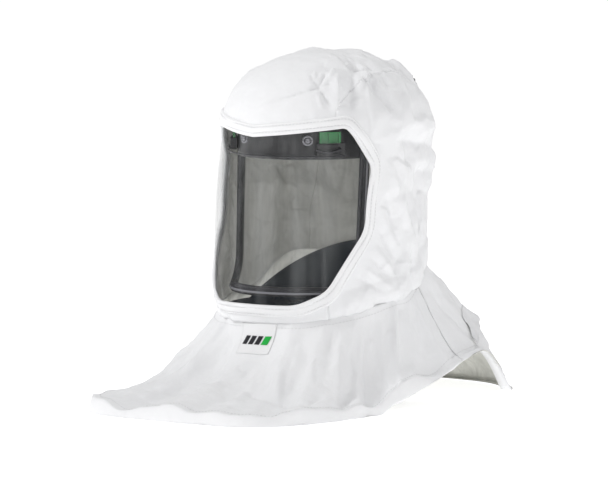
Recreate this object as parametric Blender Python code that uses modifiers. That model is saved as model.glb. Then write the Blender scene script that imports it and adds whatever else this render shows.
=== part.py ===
"""Hood headtop of a powered air respirator, with its visor, air duct and ratchet head harness.

Metres, +Z up. The wearer faces -Y, so +X is the wearer's left. The cape stands on z = 0.
Pieces are laid out round the middle of the wearer's head (the empty "head_centre"), and that
empty is moved along Y so that the middle of the whole object's footprint is the world's origin.
"""

import math
from functools import lru_cache

import bmesh
import bpy
import numpy as np
from mathutils import Matrix, Vector

# --- Hood and cape -------------------------------------------------------------------------
HOOD_TOP = 0.418
CROWN_START = 0.325          # the walls stand upright up to here
CROWN_POWER = 2.2            # squareness of the crown's dome
HOOD_HALF_WIDTH = 0.119
HOOD_FRONT = 0.141           # at the brow
HOOD_REAR = 0.140
LENS_BULGE = 0.021           # how far the lens stands ahead of the brow
LENS_BULGE_HEIGHT = 0.200
NAPE_TUCK = 0.028
NAPE_TUCK_TOP = 0.290
NAPE_TUCK_DEPTH = 0.090
FRONT_POWER = 1.9            # superellipse powers of the wall's plan, front and rear
REAR_POWER = 2.1
NECK_SEAM_FRONT = 0.106
NECK_SEAM_SIDE = 0.127
NECK_SEAM_REAR = 0.168
NECK_SEAM_RISE = 0.085       # where along Y the seam reaches its rear height
PANEL_HALF = 0.085           # the crown panel's half width, seam to seam
SEAM_GAP = 0.0005
FABRIC = 0.0012
SOFT_GAP = 0.0010            # clearance between soft pieces
CAPE_FRONT = 0.315
CAPE_REAR = 0.253
CAPE_HALF_WIDTH = 0.168
CAPE_FRONT_POWER = 4.5
CAPE_REAR_POWER = 2.9
CAPE_PUFF = 0.025            # the front cape's height just inside its hem
REAR_PUFF = 0.008
FRONT_SAG = 3.0              # 1 is a straight slope from neck to hem, and more is hollower
REAR_SAG = 1.15
SIDE_HEM_LIFT = 0.059
SIDE_HEM_PEAK = 0.095        # where along Y the side hem is highest
SIDE_HEM_START = -0.090
SIDE_HEM_END = 0.200
HEM_TURN = 0.015             # width of the hem that is turned under
SIDE_SEAM_Y = 0.050
WALL_SIDES = 44
CAPE_SIDES = 60

# --- Collar at the neck --------------------------------------------------------------------
COLLAR_FRONT_Z = 0.112
COLLAR_REAR_Z = 0.182
NECK_HALF_WIDTH = 0.060
NECK_HALF_DEPTH = 0.066
NECK_Z = 0.098
NECK_TILT = 0.014            # how much higher the neck hole is behind
ELASTIC_RADIUS = 0.0022

# --- Hood lens, in girth from the middle and height ------------------------------------------
LENS_THICKNESS = 0.0008
LENS_HEM = 0.008             # lens behind the fabric, all round
LENS_GAP = 0.0018            # the lens's clearance behind the fabric
BINDING_WIDTH = 0.014
BINDING_THICKNESS = 0.0018
BINDING_GAP = 0.0012
LENS_TOP = 0.325
LENS_TOP_CORNER = (0.115, 0.337)
LENS_SIDE_TOP = (0.157, 0.289)
LENS_SIDE_BOTTOM = (0.158, 0.213)
LENS_BOTTOM_CORNER = (0.102, 0.140)
LENS_BOTTOM_BEND = (0.062, 0.124)
LENS_BOTTOM = 0.125
OUTLINE_POINTS = 48

# --- Visor -----------------------------------------------------------------------------------
VISOR_HALF_WIDTH = 0.0965    # inner face of the visor frame's bow
VISOR_DEPTH = 0.1225
FRAME_THICKNESS = 0.0060
FRAME_RAIL = 0.0115
FRAME_TOP = 0.350
FRAME_BOTTOM = 0.133
FRAME_TOP_GIRTH = 0.138
FRAME_BOTTOM_GIRTH = 0.127
FRAME_TOP_RADIUS = 0.016
FRAME_BOTTOM_RADIUS = 0.042
VISOR_LENS = 0.0010
VISOR_LAP = 0.006            # visor lens behind the frame's rail
BROW_LAP = 0.004             # visor lens over the brow panel's lower edge
GASKET_WIDTH = 0.0026
GASKET_HEIGHT = 0.0016
GASKET_INSET = 0.0030
CLEAR = 0.0004               # gap between hard pieces that touch
BROW_BOTTOM = 0.2965
BROW_TOP = 0.345
BROW_THICKNESS = 0.0024
BROW_TAIL = 0.002            # the brow panel ends this far behind the head's middle
SCREW_GIRTHS = (-0.072, -0.026, 0.026, 0.072)
SCREW_HEAD_RADIUS = 0.0030
SCREW_HEAD_HEIGHT = 0.0018

# --- Hood latches ----------------------------------------------------------------------------
LATCH_GIRTH = 0.082
POCKET_BOTTOM = 0.3035
POCKET_SIZE = Vector((0.034, 0.0080, 0.0130))
POCKET_WALL = 0.0020
POCKET_SLOT = Vector((0.021, 0.0040, 0.0028))
LIP_REACH = 0.0045
LIP_HEIGHT = 0.0022
TAB_SIZE = Vector((0.0265, 0.0032, 0.0190))
TAB_WINDOW = Vector((0.0085, 0.0030, 0.0105))
LATCH_TRAVEL = 0.0050

# --- Head harness ----------------------------------------------------------------------------
BAND_Z = 0.320
BAND_HEIGHT = 0.022
BAND_THICKNESS = 0.0016
BAND_HALF_WIDTH = 0.080
BAND_FRONT = 0.105
BAND_BOW_START = -0.025
BAND_TAIL_END = 0.033
PAD_THICKNESS = 0.0055
PAD_OVERHANG = 0.002
BROW_PAD_ANGLE = math.radians(62)
PIVOT_Y = -0.024
PIVOT_PIN_RADIUS = 0.0030
PIVOT_HEAD_RADIUS = 0.0075
PIVOT_HEAD_HEIGHT = 0.0040
PIVOT_CLEARANCE = 0.0003
BOSS_RADIUS = 0.0100
STRAP_WIDTH = 0.018
STRAP_THICKNESS = 0.0014
STRAP_TOP = 0.388
STRAP_YS = (-0.022, 0.022)
CROWN_PAD_THICKNESS = 0.0050

# --- Nape cradle and ratchet -------------------------------------------------------------------
CRADLE_GAP = 0.0015          # between the band's tails and the cradle's arms
CRADLE_THICKNESS = 0.0020
CRADLE_ARM_START = 0.008
CRADLE_BOW_START = 0.055
CRADLE_REAR = 0.101
NAPE_PAD_ANGLE = math.radians(42)
RATCHET_Z = 0.312
HOUSING_HALF_LENGTH = 0.038
HOUSING_HEIGHT = 0.028
HOUSING_DEPTH = 0.0100
HOUSING_WALL = 0.0018
COVER_THICKNESS = 0.0018
KNOB_RADIUS = 0.0150
KNOB_LENGTH = 0.0090
KNOB_LOBES = 14
KNOB_LOBE_HEIGHT = 0.0008
SHAFT_RADIUS = 0.0030
SHAFT_CLEARANCE = 0.0004
PINION_RADIUS = 0.0060       # pitch radius: metres of strap per radian of knob
PINION_TEETH = 10
TOOTH_TIP = 0.0009
TOOTH_ROOT = 0.0014
TOOTH_SHARE = 0.34           # of the pitch, so that the teeth run with backlash
RACK_THICKNESS = 0.0028
RACK_BACK = 0.0030
RACK_INNER_END = 0.013
RACK_OUTER_END = 0.043
COVER_SCREW_X = 0.030
COVER_SCREW_RADIUS = 0.0026
COVER_SCREW_HEAD = 0.0014

# --- Air duct ------------------------------------------------------------------------------------
DUCT_HALF_WIDTH = 0.030
DUCT_HEIGHT = 0.013
DUCT_WALL = 0.0014
DUCT_BASE_LENGTH = 0.105     # semi-axes of the arch under the duct, about the band's height
DUCT_BASE_RISE = 0.080
DUCT_FRONT_ANGLE = math.radians(24)
DUCT_REAR_ANGLE = math.radians(144)
DIFFUSER_HALF_ANGLE = math.radians(33)
DIFFUSER_BOTTOM = 0.334
DIFFUSER_TOP = 0.354
DIFFUSER_DEPTH = 0.0095
DIFFUSER_WALL = 0.0014
VANE_SIZE = Vector((0.027, 0.0010, 0.0044))
VANE_LEVER = Vector((0.004, 0.0010, 0.0090))
INLET_Z = 0.362
PLENUM_FRONT = 0.088
PLENUM_REAR = 0.112
PLENUM_HALF_WIDTH = 0.033
PLENUM_HEIGHT = 0.028
PLENUM_WALL = 0.0016
STUB_RADIUS = 0.0130
STUB_BORE = 0.0108
STUB_END = 0.160
CUFF_WALL = 0.0024
CUFF_FRONT = 0.116
CUFF_REAR = 0.141
SWIVEL_FRONT = 0.1430
SWIVEL_REAR = 0.1570
SWIVEL_RADIUS = 0.0190
SWIVEL_RIBS = 20
SWIVEL_RIB_HEIGHT = 0.0008
BUTTON_SIZE = Vector((0.0070, 0.0080, 0.0040))
BUTTON_TRAVEL = 0.0015
BUTTON_PROUD = 0.0022

LABEL_SIZE = Vector((0.037, 0.041))
LABEL_THICKNESS = 0.0006
LABEL_ROW = 0.17             # how far down the cape its middle is

HEAD_SHIFT = (CAPE_FRONT - CAPE_REAR) / 2

WHITE = ("hood_fabric", (0.90, 0.90, 0.91), 0.75, 0.0, 1.0)
NAVY = ("collar_knit", (0.02, 0.03, 0.05), 0.9, 0.0, 1.0)
CLEAR_SHEET = ("clear_sheet", (0.90, 0.93, 0.94), 0.05, 0.0, 0.2)
BLACK = ("black_nylon", (0.03, 0.03, 0.035), 0.45, 0.0, 1.0)
RUBBER = ("black_rubber", (0.02, 0.02, 0.02), 0.8, 0.0, 1.0)
GREEN = ("green_clear", (0.02, 0.45, 0.12), 0.2, 0.0, 0.8)
FOAM = ("grey_foam", (0.25, 0.25, 0.27), 0.95, 0.0, 1.0)
STEEL = ("screw_steel", (0.55, 0.55, 0.57), 0.3, 1.0, 1.0)
LABEL = ("label_film", (0.93, 0.93, 0.93), 0.4, 0.0, 1.0)


# --- Blender helpers ---------------------------------------------------------------------------
def collection(name):
    made = bpy.data.collections.new(name)
    bpy.context.scene.collection.children.link(made)
    return made


for old in list(bpy.data.objects):
    bpy.data.objects.remove(old)
PARTS = collection("powered_air_respirator")
CUTTERS = collection("cutters")
CUTTERS.hide_render = True
MOUNTS = {}


def empty(name, location, parent=None, turn=0.0):
    """A mounting point, given in the head's coordinates and turned about Z."""
    made = bpy.data.objects.new(name, None)
    made.parent = parent
    made.location = location
    made.rotation_euler.z = turn
    PARTS.objects.link(made)
    MOUNTS[name] = Vector(location) if parent else Vector()
    return made


def material(spec):
    name, colour, roughness, metallic, alpha = spec
    made = bpy.data.materials.get(name) or bpy.data.materials.new(name)
    made.use_nodes = True
    shader = made.node_tree.nodes["Principled BSDF"]
    shader.inputs["Base Color"].default_value = (*colour, 1)
    shader.inputs["Roughness"].default_value = roughness
    shader.inputs["Metallic"].default_value = metallic
    shader.inputs["Alpha"].default_value = alpha
    return made


def add(name, data, spec, mount):
    """Links data as the named piece, with its coordinates still those of the head."""
    made = bpy.data.objects.new(name, data)
    made.parent = mount
    made.location = -MOUNTS[mount.name]
    data.materials.append(material(spec))
    PARTS.objects.link(made)
    return made


def add_mesh(name, mesh_edit, spec, mount, sharp_degrees=35):
    data = bpy.data.meshes.new(name)
    mesh_edit.to_mesh(data)
    mesh_edit.free()
    data.shade_smooth()
    data.set_sharp_from_angle(angle=math.radians(sharp_degrees))
    return add(name, data, spec, mount)


def add_cutter(name, mesh_edit):
    data = bpy.data.meshes.new(name)
    mesh_edit.to_mesh(data)
    mesh_edit.free()
    made = bpy.data.objects.new(name, data)
    made.parent = head
    made.hide_render = True
    made.display_type = "WIRE"
    CUTTERS.objects.link(made)
    return made


def boolean(piece, cutter, operation="DIFFERENCE"):
    step = piece.modifiers.new(cutter.name, "BOOLEAN")
    step.object = cutter
    step.operation = operation
    step.solver = "EXACT"


def solidify(piece, thickness, offset):
    """offset -1 keeps the surface as the outer face, 0 as the middle."""
    step = piece.modifiers.new("Thickness", "SOLIDIFY")
    step.thickness = thickness
    step.offset = offset
    step.use_even_offset = True


def bevel(piece, width, segments=2):
    step = piece.modifiers.new("Edges", "BEVEL")
    step.width = width
    step.segments = segments
    step.limit_method = "ANGLE"
    step.angle_limit = math.radians(50)


def grid(rows, closed=False, loop_rows=False):
    """Faces between rows of points; closed joins each row's ends, loop_rows joins last row to first."""
    made = bmesh.new()
    verts = [[made.verts.new(p) for p in row] for row in rows]
    pairs = list(zip(verts, verts[1:]))
    if loop_rows:
        pairs.append((verts[-1], verts[0]))
    for low, high in pairs:
        count = len(low)
        for i in range(count if closed else count - 1):
            j = (i + 1) % count
            made.faces.new((low[i], low[j], high[j], high[i]))
    made.verts.ensure_lookup_table()
    return made


def ribbon(path, low, high):
    """An upright strip along a plan path."""
    return grid([[(x, y, low) for x, y in path], [(x, y, high) for x, y in path]])


def block(size, centre, turn=0.0):
    made = bmesh.new()
    bmesh.ops.create_cube(made, size=1.0)
    bmesh.ops.scale(made, vec=size, verts=made.verts)
    bmesh.ops.rotate(made, matrix=Matrix.Rotation(turn, 3, "Z"), verts=made.verts)
    bmesh.ops.translate(made, vec=centre, verts=made.verts)
    return made


def rod(radius, start, end, segments=32, end_radius=None):
    """A cylinder or cone from start to end."""
    start, end = Vector(start), Vector(end)
    along = end - start
    made = bmesh.new()
    bmesh.ops.create_cone(
        made,
        cap_ends=True,
        segments=segments,
        radius1=radius,
        radius2=radius if end_radius is None else end_radius,
        depth=along.length,
    )
    turn = along.to_track_quat("Z", "Y").to_matrix()
    bmesh.ops.rotate(made, matrix=turn, verts=made.verts)
    bmesh.ops.translate(made, vec=(start + end) / 2, verts=made.verts)
    return made


def flat_outline(name, splines, thickness, spec, mount, centre, facing=(0, 0, 0)):
    """A plate with the given outlines (holes are splines too), in its own XY plane."""
    data = bpy.data.curves.new(name, "CURVE")
    data.dimensions = "2D"
    data.fill_mode = "BOTH"
    data.extrude = thickness / 2
    for points in splines:
        spline = data.splines.new("POLY")
        spline.points.add(len(points) - 1)
        spline.use_cyclic_u = True
        for target, (x, y) in zip(spline.points, points):
            target.co = (x, y, 0, 1)
    made = add(name, data, spec, mount)
    made.location += Vector(centre)
    made.rotation_euler = facing
    return made


def circle(radius, count=32, centre=(0, 0)):
    turns = (2 * math.pi * i / count for i in range(count))
    return [(centre[0] + radius * math.cos(t), centre[1] + radius * math.sin(t)) for t in turns]


def smoothstep(t):
    t = min(1.0, max(0.0, t))
    return t * t * (3 - 2 * t)


# --- Curves in plan ------------------------------------------------------------------------------
def superellipse(half_width, depth, power, angle):
    """A point of the half plan; angle 0 is straight ahead (-Y), and 90 degrees is +X."""
    s, c = math.sin(angle), math.cos(angle)
    x = math.copysign(abs(s) ** (2 / power), s) * half_width
    y = -math.copysign(abs(c) ** (2 / power), c) * depth
    return x, y


@lru_cache(maxsize=None)
def bow_table(half_width, depth, power):
    angles = np.linspace(0, math.pi / 2, 361)
    points = np.array([superellipse(half_width, depth, power, a) for a in angles])
    steps = np.hypot(*np.diff(points, axis=0).T)
    return angles, np.concatenate([[0], np.cumsum(steps)])


def on_bow(half_width, depth, power, girth, offset=0.0):
    """The plan point this girth round a bow from its middle, moved outward by offset, and its normal."""
    angles, lengths = bow_table(half_width, depth, power)
    angle = float(np.interp(abs(girth), lengths, angles))
    step = 0.002
    near = Vector(superellipse(half_width, depth, power, max(0.0, angle - step)))
    far = Vector(superellipse(half_width, depth, power, min(math.pi / 2, angle + step)))
    along = (far - near).normalized()
    normal = Vector((along.y, -along.x))
    point = Vector(superellipse(half_width, depth, power, angle)) + normal * offset
    side = -1 if girth < 0 else 1
    return Vector((point.x * side, point.y)), Vector((normal.x * side, normal.y))


def bow_path(half_width, depth, centre_y, half_angle, count, rear=False):
    """Points along an elliptical bow, from one side to the other."""
    flip = -1 if rear else 1
    angles = np.linspace(-half_angle, half_angle, count)
    return [(half_width * math.sin(a), centre_y - flip * depth * math.cos(a)) for a in angles]


def resampled(points, count):
    """count points evenly spaced round a closed outline, starting at its first point."""
    closed = np.array([*points, points[0]], float)
    lengths = np.concatenate([[0], np.cumsum(np.linalg.norm(np.diff(closed, axis=0), axis=1))])
    wanted = np.linspace(0, lengths[-1], count, endpoint=False)
    return np.stack([np.interp(wanted, lengths, closed[:, k]) for k in range(closed.shape[1])], 1)


def rounded(corners, arc_points=8):
    """A closed outline through (x, y, radius) corners, with each corner an arc."""
    made = []
    for i, (x, y, radius) in enumerate(corners):
        here = Vector((x, y))
        back = (Vector(corners[i - 1][:2]) - here).normalized()
        ahead = (Vector(corners[(i + 1) % len(corners)][:2]) - here).normalized()
        half = back.angle(ahead) / 2
        if radius <= 0 or half > math.radians(89.5):
            made.append((x, y))
            continue
        centre = here + (back + ahead).normalized() * radius / math.sin(half)
        start = here + back * radius / math.tan(half) - centre
        end = here + ahead * radius / math.tan(half) - centre
        swing = start.angle_signed(end)
        for k in range(arc_points + 1):
            turned = Matrix.Rotation(-swing * k / arc_points, 2) @ start
            made.append(tuple(centre + turned))
    return made


def grown(outline, distance):
    """An anticlockwise outline moved outward."""
    before = np.roll(outline, 1, axis=0)
    after = np.roll(outline, -1, axis=0)
    along = after - before
    normal = np.stack([along[:, 1], -along[:, 0]], 1)
    normal /= np.linalg.norm(normal, axis=1)[:, None]
    return outline + normal * distance


def mirrored(half):
    """A whole outline from its right half, given from the bottom middle up."""
    return half + [(-x, y, r) for x, y, r in reversed(half) if x > 0]


# --- The hood's wall --------------------------------------------------------------------------
def crown_share(z):
    rise = max(0.0, (z - CROWN_START) / (HOOD_TOP - CROWN_START))
    return max(0.0, 1 - rise**CROWN_POWER) ** (1 / CROWN_POWER)


def hood_section(z):
    """Half width, reach ahead and reach behind of the hood's wall at height z."""
    sweep = math.pi / 2 * max(0.0, CROWN_START - z) / (CROWN_START - LENS_BULGE_HEIGHT)
    front = HOOD_FRONT + LENS_BULGE * max(0.0, math.sin(min(math.pi, sweep)))
    rear = HOOD_REAR - NAPE_TUCK * smoothstep((NAPE_TUCK_TOP - z) / NAPE_TUCK_DEPTH)
    share = crown_share(z)
    return HOOD_HALF_WIDTH * share, front * share, rear * share


def wall_point(angle, z, inset=0.0):
    half_width, front, rear = hood_section(z)
    ahead = math.cos(angle) > 0
    depth, power = (front, FRONT_POWER) if ahead else (rear, REAR_POWER)
    return (*superellipse(half_width - inset, depth - inset, power, angle), z)


def on_lens(girth, z, offset):
    """A point of the hood's front wall, by girth from the middle and height."""
    half_width, front, _ = hood_section(z)
    point, _ = on_bow(half_width, front, FRONT_POWER, girth, offset)
    return (point.x, point.y, z)


def seam_height(angle):
    """The height of the seam between hood and cape: it rises from the chin to the sides, then to the nape."""
    y = -math.cos(angle) * HOOD_FRONT
    chin_rise = (NECK_SEAM_SIDE - NECK_SEAM_FRONT) * smoothstep(1 + y / HOOD_FRONT)
    return NECK_SEAM_FRONT + chin_rise + (NECK_SEAM_REAR - NECK_SEAM_SIDE) * smoothstep(y / NECK_SEAM_RISE)


def around(count):
    return [2 * math.pi * i / count for i in range(count)]


def lens_outline():
    corners = [
        (0.0, LENS_BOTTOM, 0),
        (*LENS_BOTTOM_BEND, 0.060),
        (*LENS_BOTTOM_CORNER, 0.050),
        (*LENS_SIDE_BOTTOM, 0.040),
        (*LENS_SIDE_TOP, 0.022),
        (*LENS_TOP_CORNER, 0.012),
        (0.0, LENS_TOP, 0),
    ]
    return resampled(rounded(mirrored(corners)), OUTLINE_POINTS)


def ring_between(inner, outer, place, front, back):
    """A closed frame between two outlines, its faces at two offsets from a bow."""
    loops = (
        [place(x, y, front) for x, y in inner],
        [place(x, y, front) for x, y in outer],
        [place(x, y, back) for x, y in outer],
        [place(x, y, back) for x, y in inner],
    )
    return grid(loops, closed=True, loop_rows=True)


def fan(edit, start, count, hub):
    """Closes the loop of count vertices that begins at start with triangles to a hub."""
    middle = edit.verts.new(hub)
    edit.verts.ensure_lookup_table()
    for i in range(count):
        edit.faces.new((middle, edit.verts[start + i], edit.verts[start + (i + 1) % count]))


def bowed_sheet(outline, place, front, back, rings=5):
    """A closed sheet that fills an outline, its faces at two offsets from a bow."""
    middle = outline.mean(axis=0)
    shares = [1 - k / rings for k in range(rings)]
    loops = [[place(*(middle + (p - middle) * s), front) for p in outline] for s in reversed(shares)]
    loops += [[place(*(middle + (p - middle) * s), back) for p in outline] for s in shares]
    made = grid(loops, closed=True)
    count = len(outline)
    fan(made, 0, count, place(*middle, front))
    fan(made, (len(loops) - 1) * count, count, place(*middle, back))
    bmesh.ops.recalc_face_normals(made, faces=made.faces)
    return made


def prism(outline, low, high):
    """An upright block with the given plan outline."""
    made = grid([[(x, y, low) for x, y in outline], [(x, y, high) for x, y in outline]], closed=True)
    count = len(outline)
    made.faces.new([made.verts[i] for i in range(count)])
    made.faces.new([made.verts[count + i] for i in range(count)])
    bmesh.ops.recalc_face_normals(made, faces=made.faces)
    return made


def make_hood_panels():
    angles = around(WALL_SIDES)
    foot = [wall_point(a, seam_height(a) + SEAM_GAP) for a in angles]
    rise = HOOD_TOP - CROWN_START
    heights = list(np.linspace(NECK_SEAM_REAR + 0.012, CROWN_START, 6))
    waist = [wall_point(a, (seam_height(a) + heights[0]) / 2) for a in angles]
    heights += [CROWN_START + rise * share for share in (0.18, 0.38, 0.58, 0.75, 0.88, 0.96)]
    rows = [foot, waist] + [[wall_point(a, z) for a in angles] for z in heights]
    rows.append([(0.45 * x, 0.45 * y, HOOD_TOP) for x, y, _ in rows[-1]])

    rim = [Vector(on_lens(s, z, 0)) for s, z in lens_outline()]
    inner = [Vector((0.72 * p.x, 0.72 * p.y, p.z)) for p in rim]
    outer = [Vector((1.35 * p.x, 1.35 * p.y, p.z)) for p in rim]
    middle = (LENS_TOP + LENS_BOTTOM) / 2
    ahead = -1.8 * (HOOD_FRONT + LENS_BULGE)
    hole = grid([inner, outer], closed=True)
    fan(hole, 0, len(rim), (0, 0, middle))
    fan(hole, len(rim), len(rim), (0, ahead, middle))
    bmesh.ops.recalc_face_normals(hole, faces=hole.faces)
    face_hole = add_cutter("face_hole", hole)
    cuff_radius = STUB_RADIUS + CLEAR + CUFF_WALL + CLEAR
    inlet_rod = rod(cuff_radius, (0, PLENUM_REAR, INLET_Z), (0, STUB_END, INLET_Z), 40)
    inlet_hole = add_cutter("inlet_hole", inlet_rod)

    big = 2 * (CAPE_FRONT + CAPE_REAR)
    middle_slab = add_cutter("middle_slab", block((2 * PANEL_HALF, big, big), (0, 0, 0)))
    chin_block = add_cutter(
        "chin_block", block((big, big, big), (0, -big / 2, (LENS_SIDE_BOTTOM[1] + LENS_BOTTOM) / 2 - big / 2))
    )
    side_shift = big / 2 + PANEL_HALF + SEAM_GAP
    side_slabs = {
        side: add_cutter(f"{side}_slab", block((big, big, big), (sign * side_shift, 0, 0)))
        for side, sign in (("left", 1), ("right", -1))
    }
    for name, steps in (
        ("crown_panel", ((middle_slab, "INTERSECT"), (chin_block, "DIFFERENCE"))),
        ("chin_panel", ((middle_slab, "INTERSECT"), (chin_block, "INTERSECT"))),
        ("left_side_panel", ((side_slabs["left"], "INTERSECT"),)),
        ("right_side_panel", ((side_slabs["right"], "INTERSECT"),)),
    ):
        shell = grid(rows, closed=True)
        shell.faces.new([shell.verts[len(shell.verts) - WALL_SIDES + i] for i in range(WALL_SIDES)])
        panel = add_mesh(name, shell, WHITE, head)
        solidify(panel, FABRIC, -1)
        boolean(panel, face_hole)
        if name == "crown_panel":
            boolean(panel, inlet_hole)
        for cutter, operation in steps:
            boolean(panel, cutter, operation)


def make_hood_lens():
    outline = lens_outline()
    front = -(FABRIC + LENS_GAP)
    sheet = bowed_sheet(grown(outline, LENS_HEM), on_lens, front, front - LENS_THICKNESS)
    add_mesh("hood_lens", sheet, CLEAR_SHEET, head)
    rim = ring_between(
        grown(outline, -0.001), grown(outline, BINDING_WIDTH), on_lens,
        BINDING_THICKNESS + BINDING_GAP, BINDING_GAP,
    )
    bmesh.ops.recalc_face_normals(rim, faces=rim.faces)
    add_mesh("lens_binding", rim, WHITE, head)


# --- Cape -----------------------------------------------------------------------------------------
def hem_loop():
    """The hem's plan outline, evenly spaced from the front middle, with the height of each point."""
    dense = []
    for a in around(720):
        depth, power = (CAPE_FRONT, CAPE_FRONT_POWER) if math.cos(a) > 0 else (CAPE_REAR, CAPE_REAR_POWER)
        dense.append(superellipse(CAPE_HALF_WIDTH, depth, power, a))
    plan = resampled(dense, CAPE_SIDES)
    return [Vector((x, y, hem_height(y))) for x, y in plan]


def hem_height(y):
    rising = smoothstep((y - SIDE_HEM_START) / (SIDE_HEM_PEAK - SIDE_HEM_START))
    falling = smoothstep((SIDE_HEM_END - y) / (SIDE_HEM_END - SIDE_HEM_PEAK))
    return SIDE_HEM_LIFT * min(rising, falling)


def neck_loop():
    dense = [Vector(wall_point(a, seam_height(a))) for a in around(720)]
    return [Vector(p) for p in resampled(dense, CAPE_SIDES)]


def cape_point(neck, hem, t):
    """A point on the cape: steep below the chin, then a low puffed apron; a plain slope behind."""
    spread = min(1.0, (hem.xy - neck.xy).length / (CAPE_REAR - HOOD_REAR))
    rear = smoothstep(neck.y / NECK_SEAM_RISE)
    puff = smoothstep(spread) * (CAPE_PUFF + (REAR_PUFF - CAPE_PUFF) * rear)
    front_sag = REAR_SAG + (FRONT_SAG - REAR_SAG) * spread
    sag = front_sag + (REAR_SAG - front_sag) * rear
    plan = neck.xy.lerp(hem.xy, t)
    fall = (neck.z - hem.z - puff) * (1 - t) ** sag
    return Vector((*plan, hem.z + puff * (1 - t**8) + fall))


def cape_columns():
    rows = []
    necks, hems = neck_loop(), hem_loop()
    for t in (0.0, 0.12, 0.26, 0.42, 0.60, 0.78, 0.90, 0.97, 1.0):
        rows.append([cape_point(n, h, t) for n, h in zip(necks, hems)])
    inner = grown(np.array([h.xy for h in hems]), -HEM_TURN)
    rows.append([Vector((x, y, h.z)) for (x, y), h in zip(inner, hems)])
    return rows


def make_capes():
    rows = cape_columns()
    rows.reverse()
    seam = next(i for i, p in enumerate(rows[1]) if p.y > SIDE_SEAM_Y)

    def between(side, share):
        """A column of points between the two that stand on either side of a side seam."""
        return [row[side * (seam - 1)].lerp(row[side * seam], share) for row in rows]

    columns = [[row[i % CAPE_SIDES] for row in rows] for i in range(-seam + 1, CAPE_SIDES - seam + 1)]
    count = 2 * seam - 1
    front = [between(-1, 0.48), *columns[:count], between(1, 0.48)]
    rear = [between(1, 0.52), *columns[count:], between(-1, 0.52)]
    for name, cut in (("front_cape", front), ("rear_cape", rear)):
        piece = add_mesh(name, grid(list(zip(*cut))), WHITE, head)
        solidify(piece, FABRIC, -1)

    lift = Vector((SOFT_GAP + FABRIC / 2, 0, FABRIC / 2))
    strip = [[p + lift for p in between(1, share)[1:]] for share in (0.2, 0.5, 0.8)]
    for name, sign in (("left_seam_tape", 1), ("right_seam_tape", -1)):
        side_strip = [[Vector((sign * p.x, p.y, p.z)) for p in line] for line in strip[::sign]]
        tape = add_mesh(name, grid(list(zip(*side_strip))), WHITE, head)
        solidify(tape, FABRIC / 2, 1)


def make_collar():
    rows = []
    wall_inset = FABRIC + 2 * SOFT_GAP
    for share in (0.0, 0.25, 0.5, 0.75, 1.0):
        row = []
        for a in around(WALL_SIDES):
            back = max(0.0, -math.cos(a))
            outer_z = COLLAR_FRONT_Z + (COLLAR_REAR_Z - COLLAR_FRONT_Z) * back
            outer = Vector(wall_point(a, outer_z, wall_inset))
            hole_z = NECK_Z + NECK_TILT * (0.5 - 0.5 * math.cos(a))
            hole = Vector((*superellipse(NECK_HALF_WIDTH, NECK_HALF_DEPTH, 2, a), hole_z))
            point = outer.lerp(hole, share)
            point.z -= 0.012 * math.sin(math.pi * share)
            row.append(point)
        rows.append(row)
    rows.reverse()
    collar = add_mesh("neck_collar", grid(rows, closed=True), NAVY, head)
    solidify(collar, FABRIC, -1)
    data = bpy.data.curves.new("neck_elastic", "CURVE")
    data.dimensions = "3D"
    data.bevel_depth = ELASTIC_RADIUS
    data.bevel_resolution = 1
    spline = data.splines.new("POLY")
    loop = rows[0]
    spline.points.add(len(loop) - 1)
    spline.use_cyclic_u = True
    for target, p in zip(spline.points, loop):
        inward = Vector((p.x, p.y, 0)).normalized() * (ELASTIC_RADIUS + SOFT_GAP)
        target.co = (*(p - inward), 1)
    add("neck_elastic", data, NAVY, head)


def make_label():
    """A film label on the middle of the front cape, lying along its slope."""
    neck, hem = neck_loop()[0], hem_loop()[0]
    middle, below = cape_point(neck, hem, LABEL_ROW), cape_point(neck, hem, LABEL_ROW + 0.05)
    slope = (below - middle).normalized()
    out = Vector((0, slope.z, -slope.y))
    film = block((LABEL_SIZE.x, LABEL_SIZE.y, LABEL_THICKNESS), (0, 0, 0))
    piece = add_mesh("label_patch", film, LABEL, head)
    piece.location = middle + out * (LABEL_THICKNESS / 2 + 3 * SOFT_GAP)
    piece.rotation_euler.x = math.atan2(-slope.z, -slope.y)


# --- Visor ----------------------------------------------------------------------------------------
def on_visor(girth, z, offset):
    point, _ = on_bow(VISOR_HALF_WIDTH, VISOR_DEPTH, 2, girth, offset)
    return (point.x, point.y, z)


def frame_outline(inset, top=FRAME_TOP):
    """The visor frame's outline, or one that lies inside it."""
    corners = [
        (0.0, FRAME_BOTTOM + inset, 0),
        (FRAME_BOTTOM_GIRTH - inset, FRAME_BOTTOM + inset, FRAME_BOTTOM_RADIUS - inset),
        (FRAME_TOP_GIRTH - inset, top - inset, max(0.002, FRAME_TOP_RADIUS - inset)),
        (0.0, top - inset, 0),
    ]
    return resampled(rounded(mirrored(corners)), OUTLINE_POINTS)


def make_visor():
    outer = frame_outline(0)
    inner = frame_outline(FRAME_RAIL)
    frame = ring_between(inner, outer, on_visor, FRAME_THICKNESS, 0)
    bmesh.ops.recalc_face_normals(frame, faces=frame.faces)
    add_mesh("visor_frame", frame, BLACK, head)
    bead = ring_between(
        frame_outline(GASKET_INSET + GASKET_WIDTH), frame_outline(GASKET_INSET), on_visor,
        FRAME_THICKNESS + CLEAR + GASKET_HEIGHT, FRAME_THICKNESS + CLEAR,
    )
    bmesh.ops.recalc_face_normals(bead, faces=bead.faces)
    add_mesh("visor_gasket", bead, RUBBER, head)
    lens_inset = FRAME_RAIL - VISOR_LAP
    lens_outline_points = frame_outline(lens_inset, BROW_BOTTOM + BROW_LAP + lens_inset)
    lens = bowed_sheet(lens_outline_points, on_visor, -SOFT_GAP, -SOFT_GAP - VISOR_LENS)
    add_mesh("visor_lens", lens, CLEAR_SHEET, head)


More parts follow.
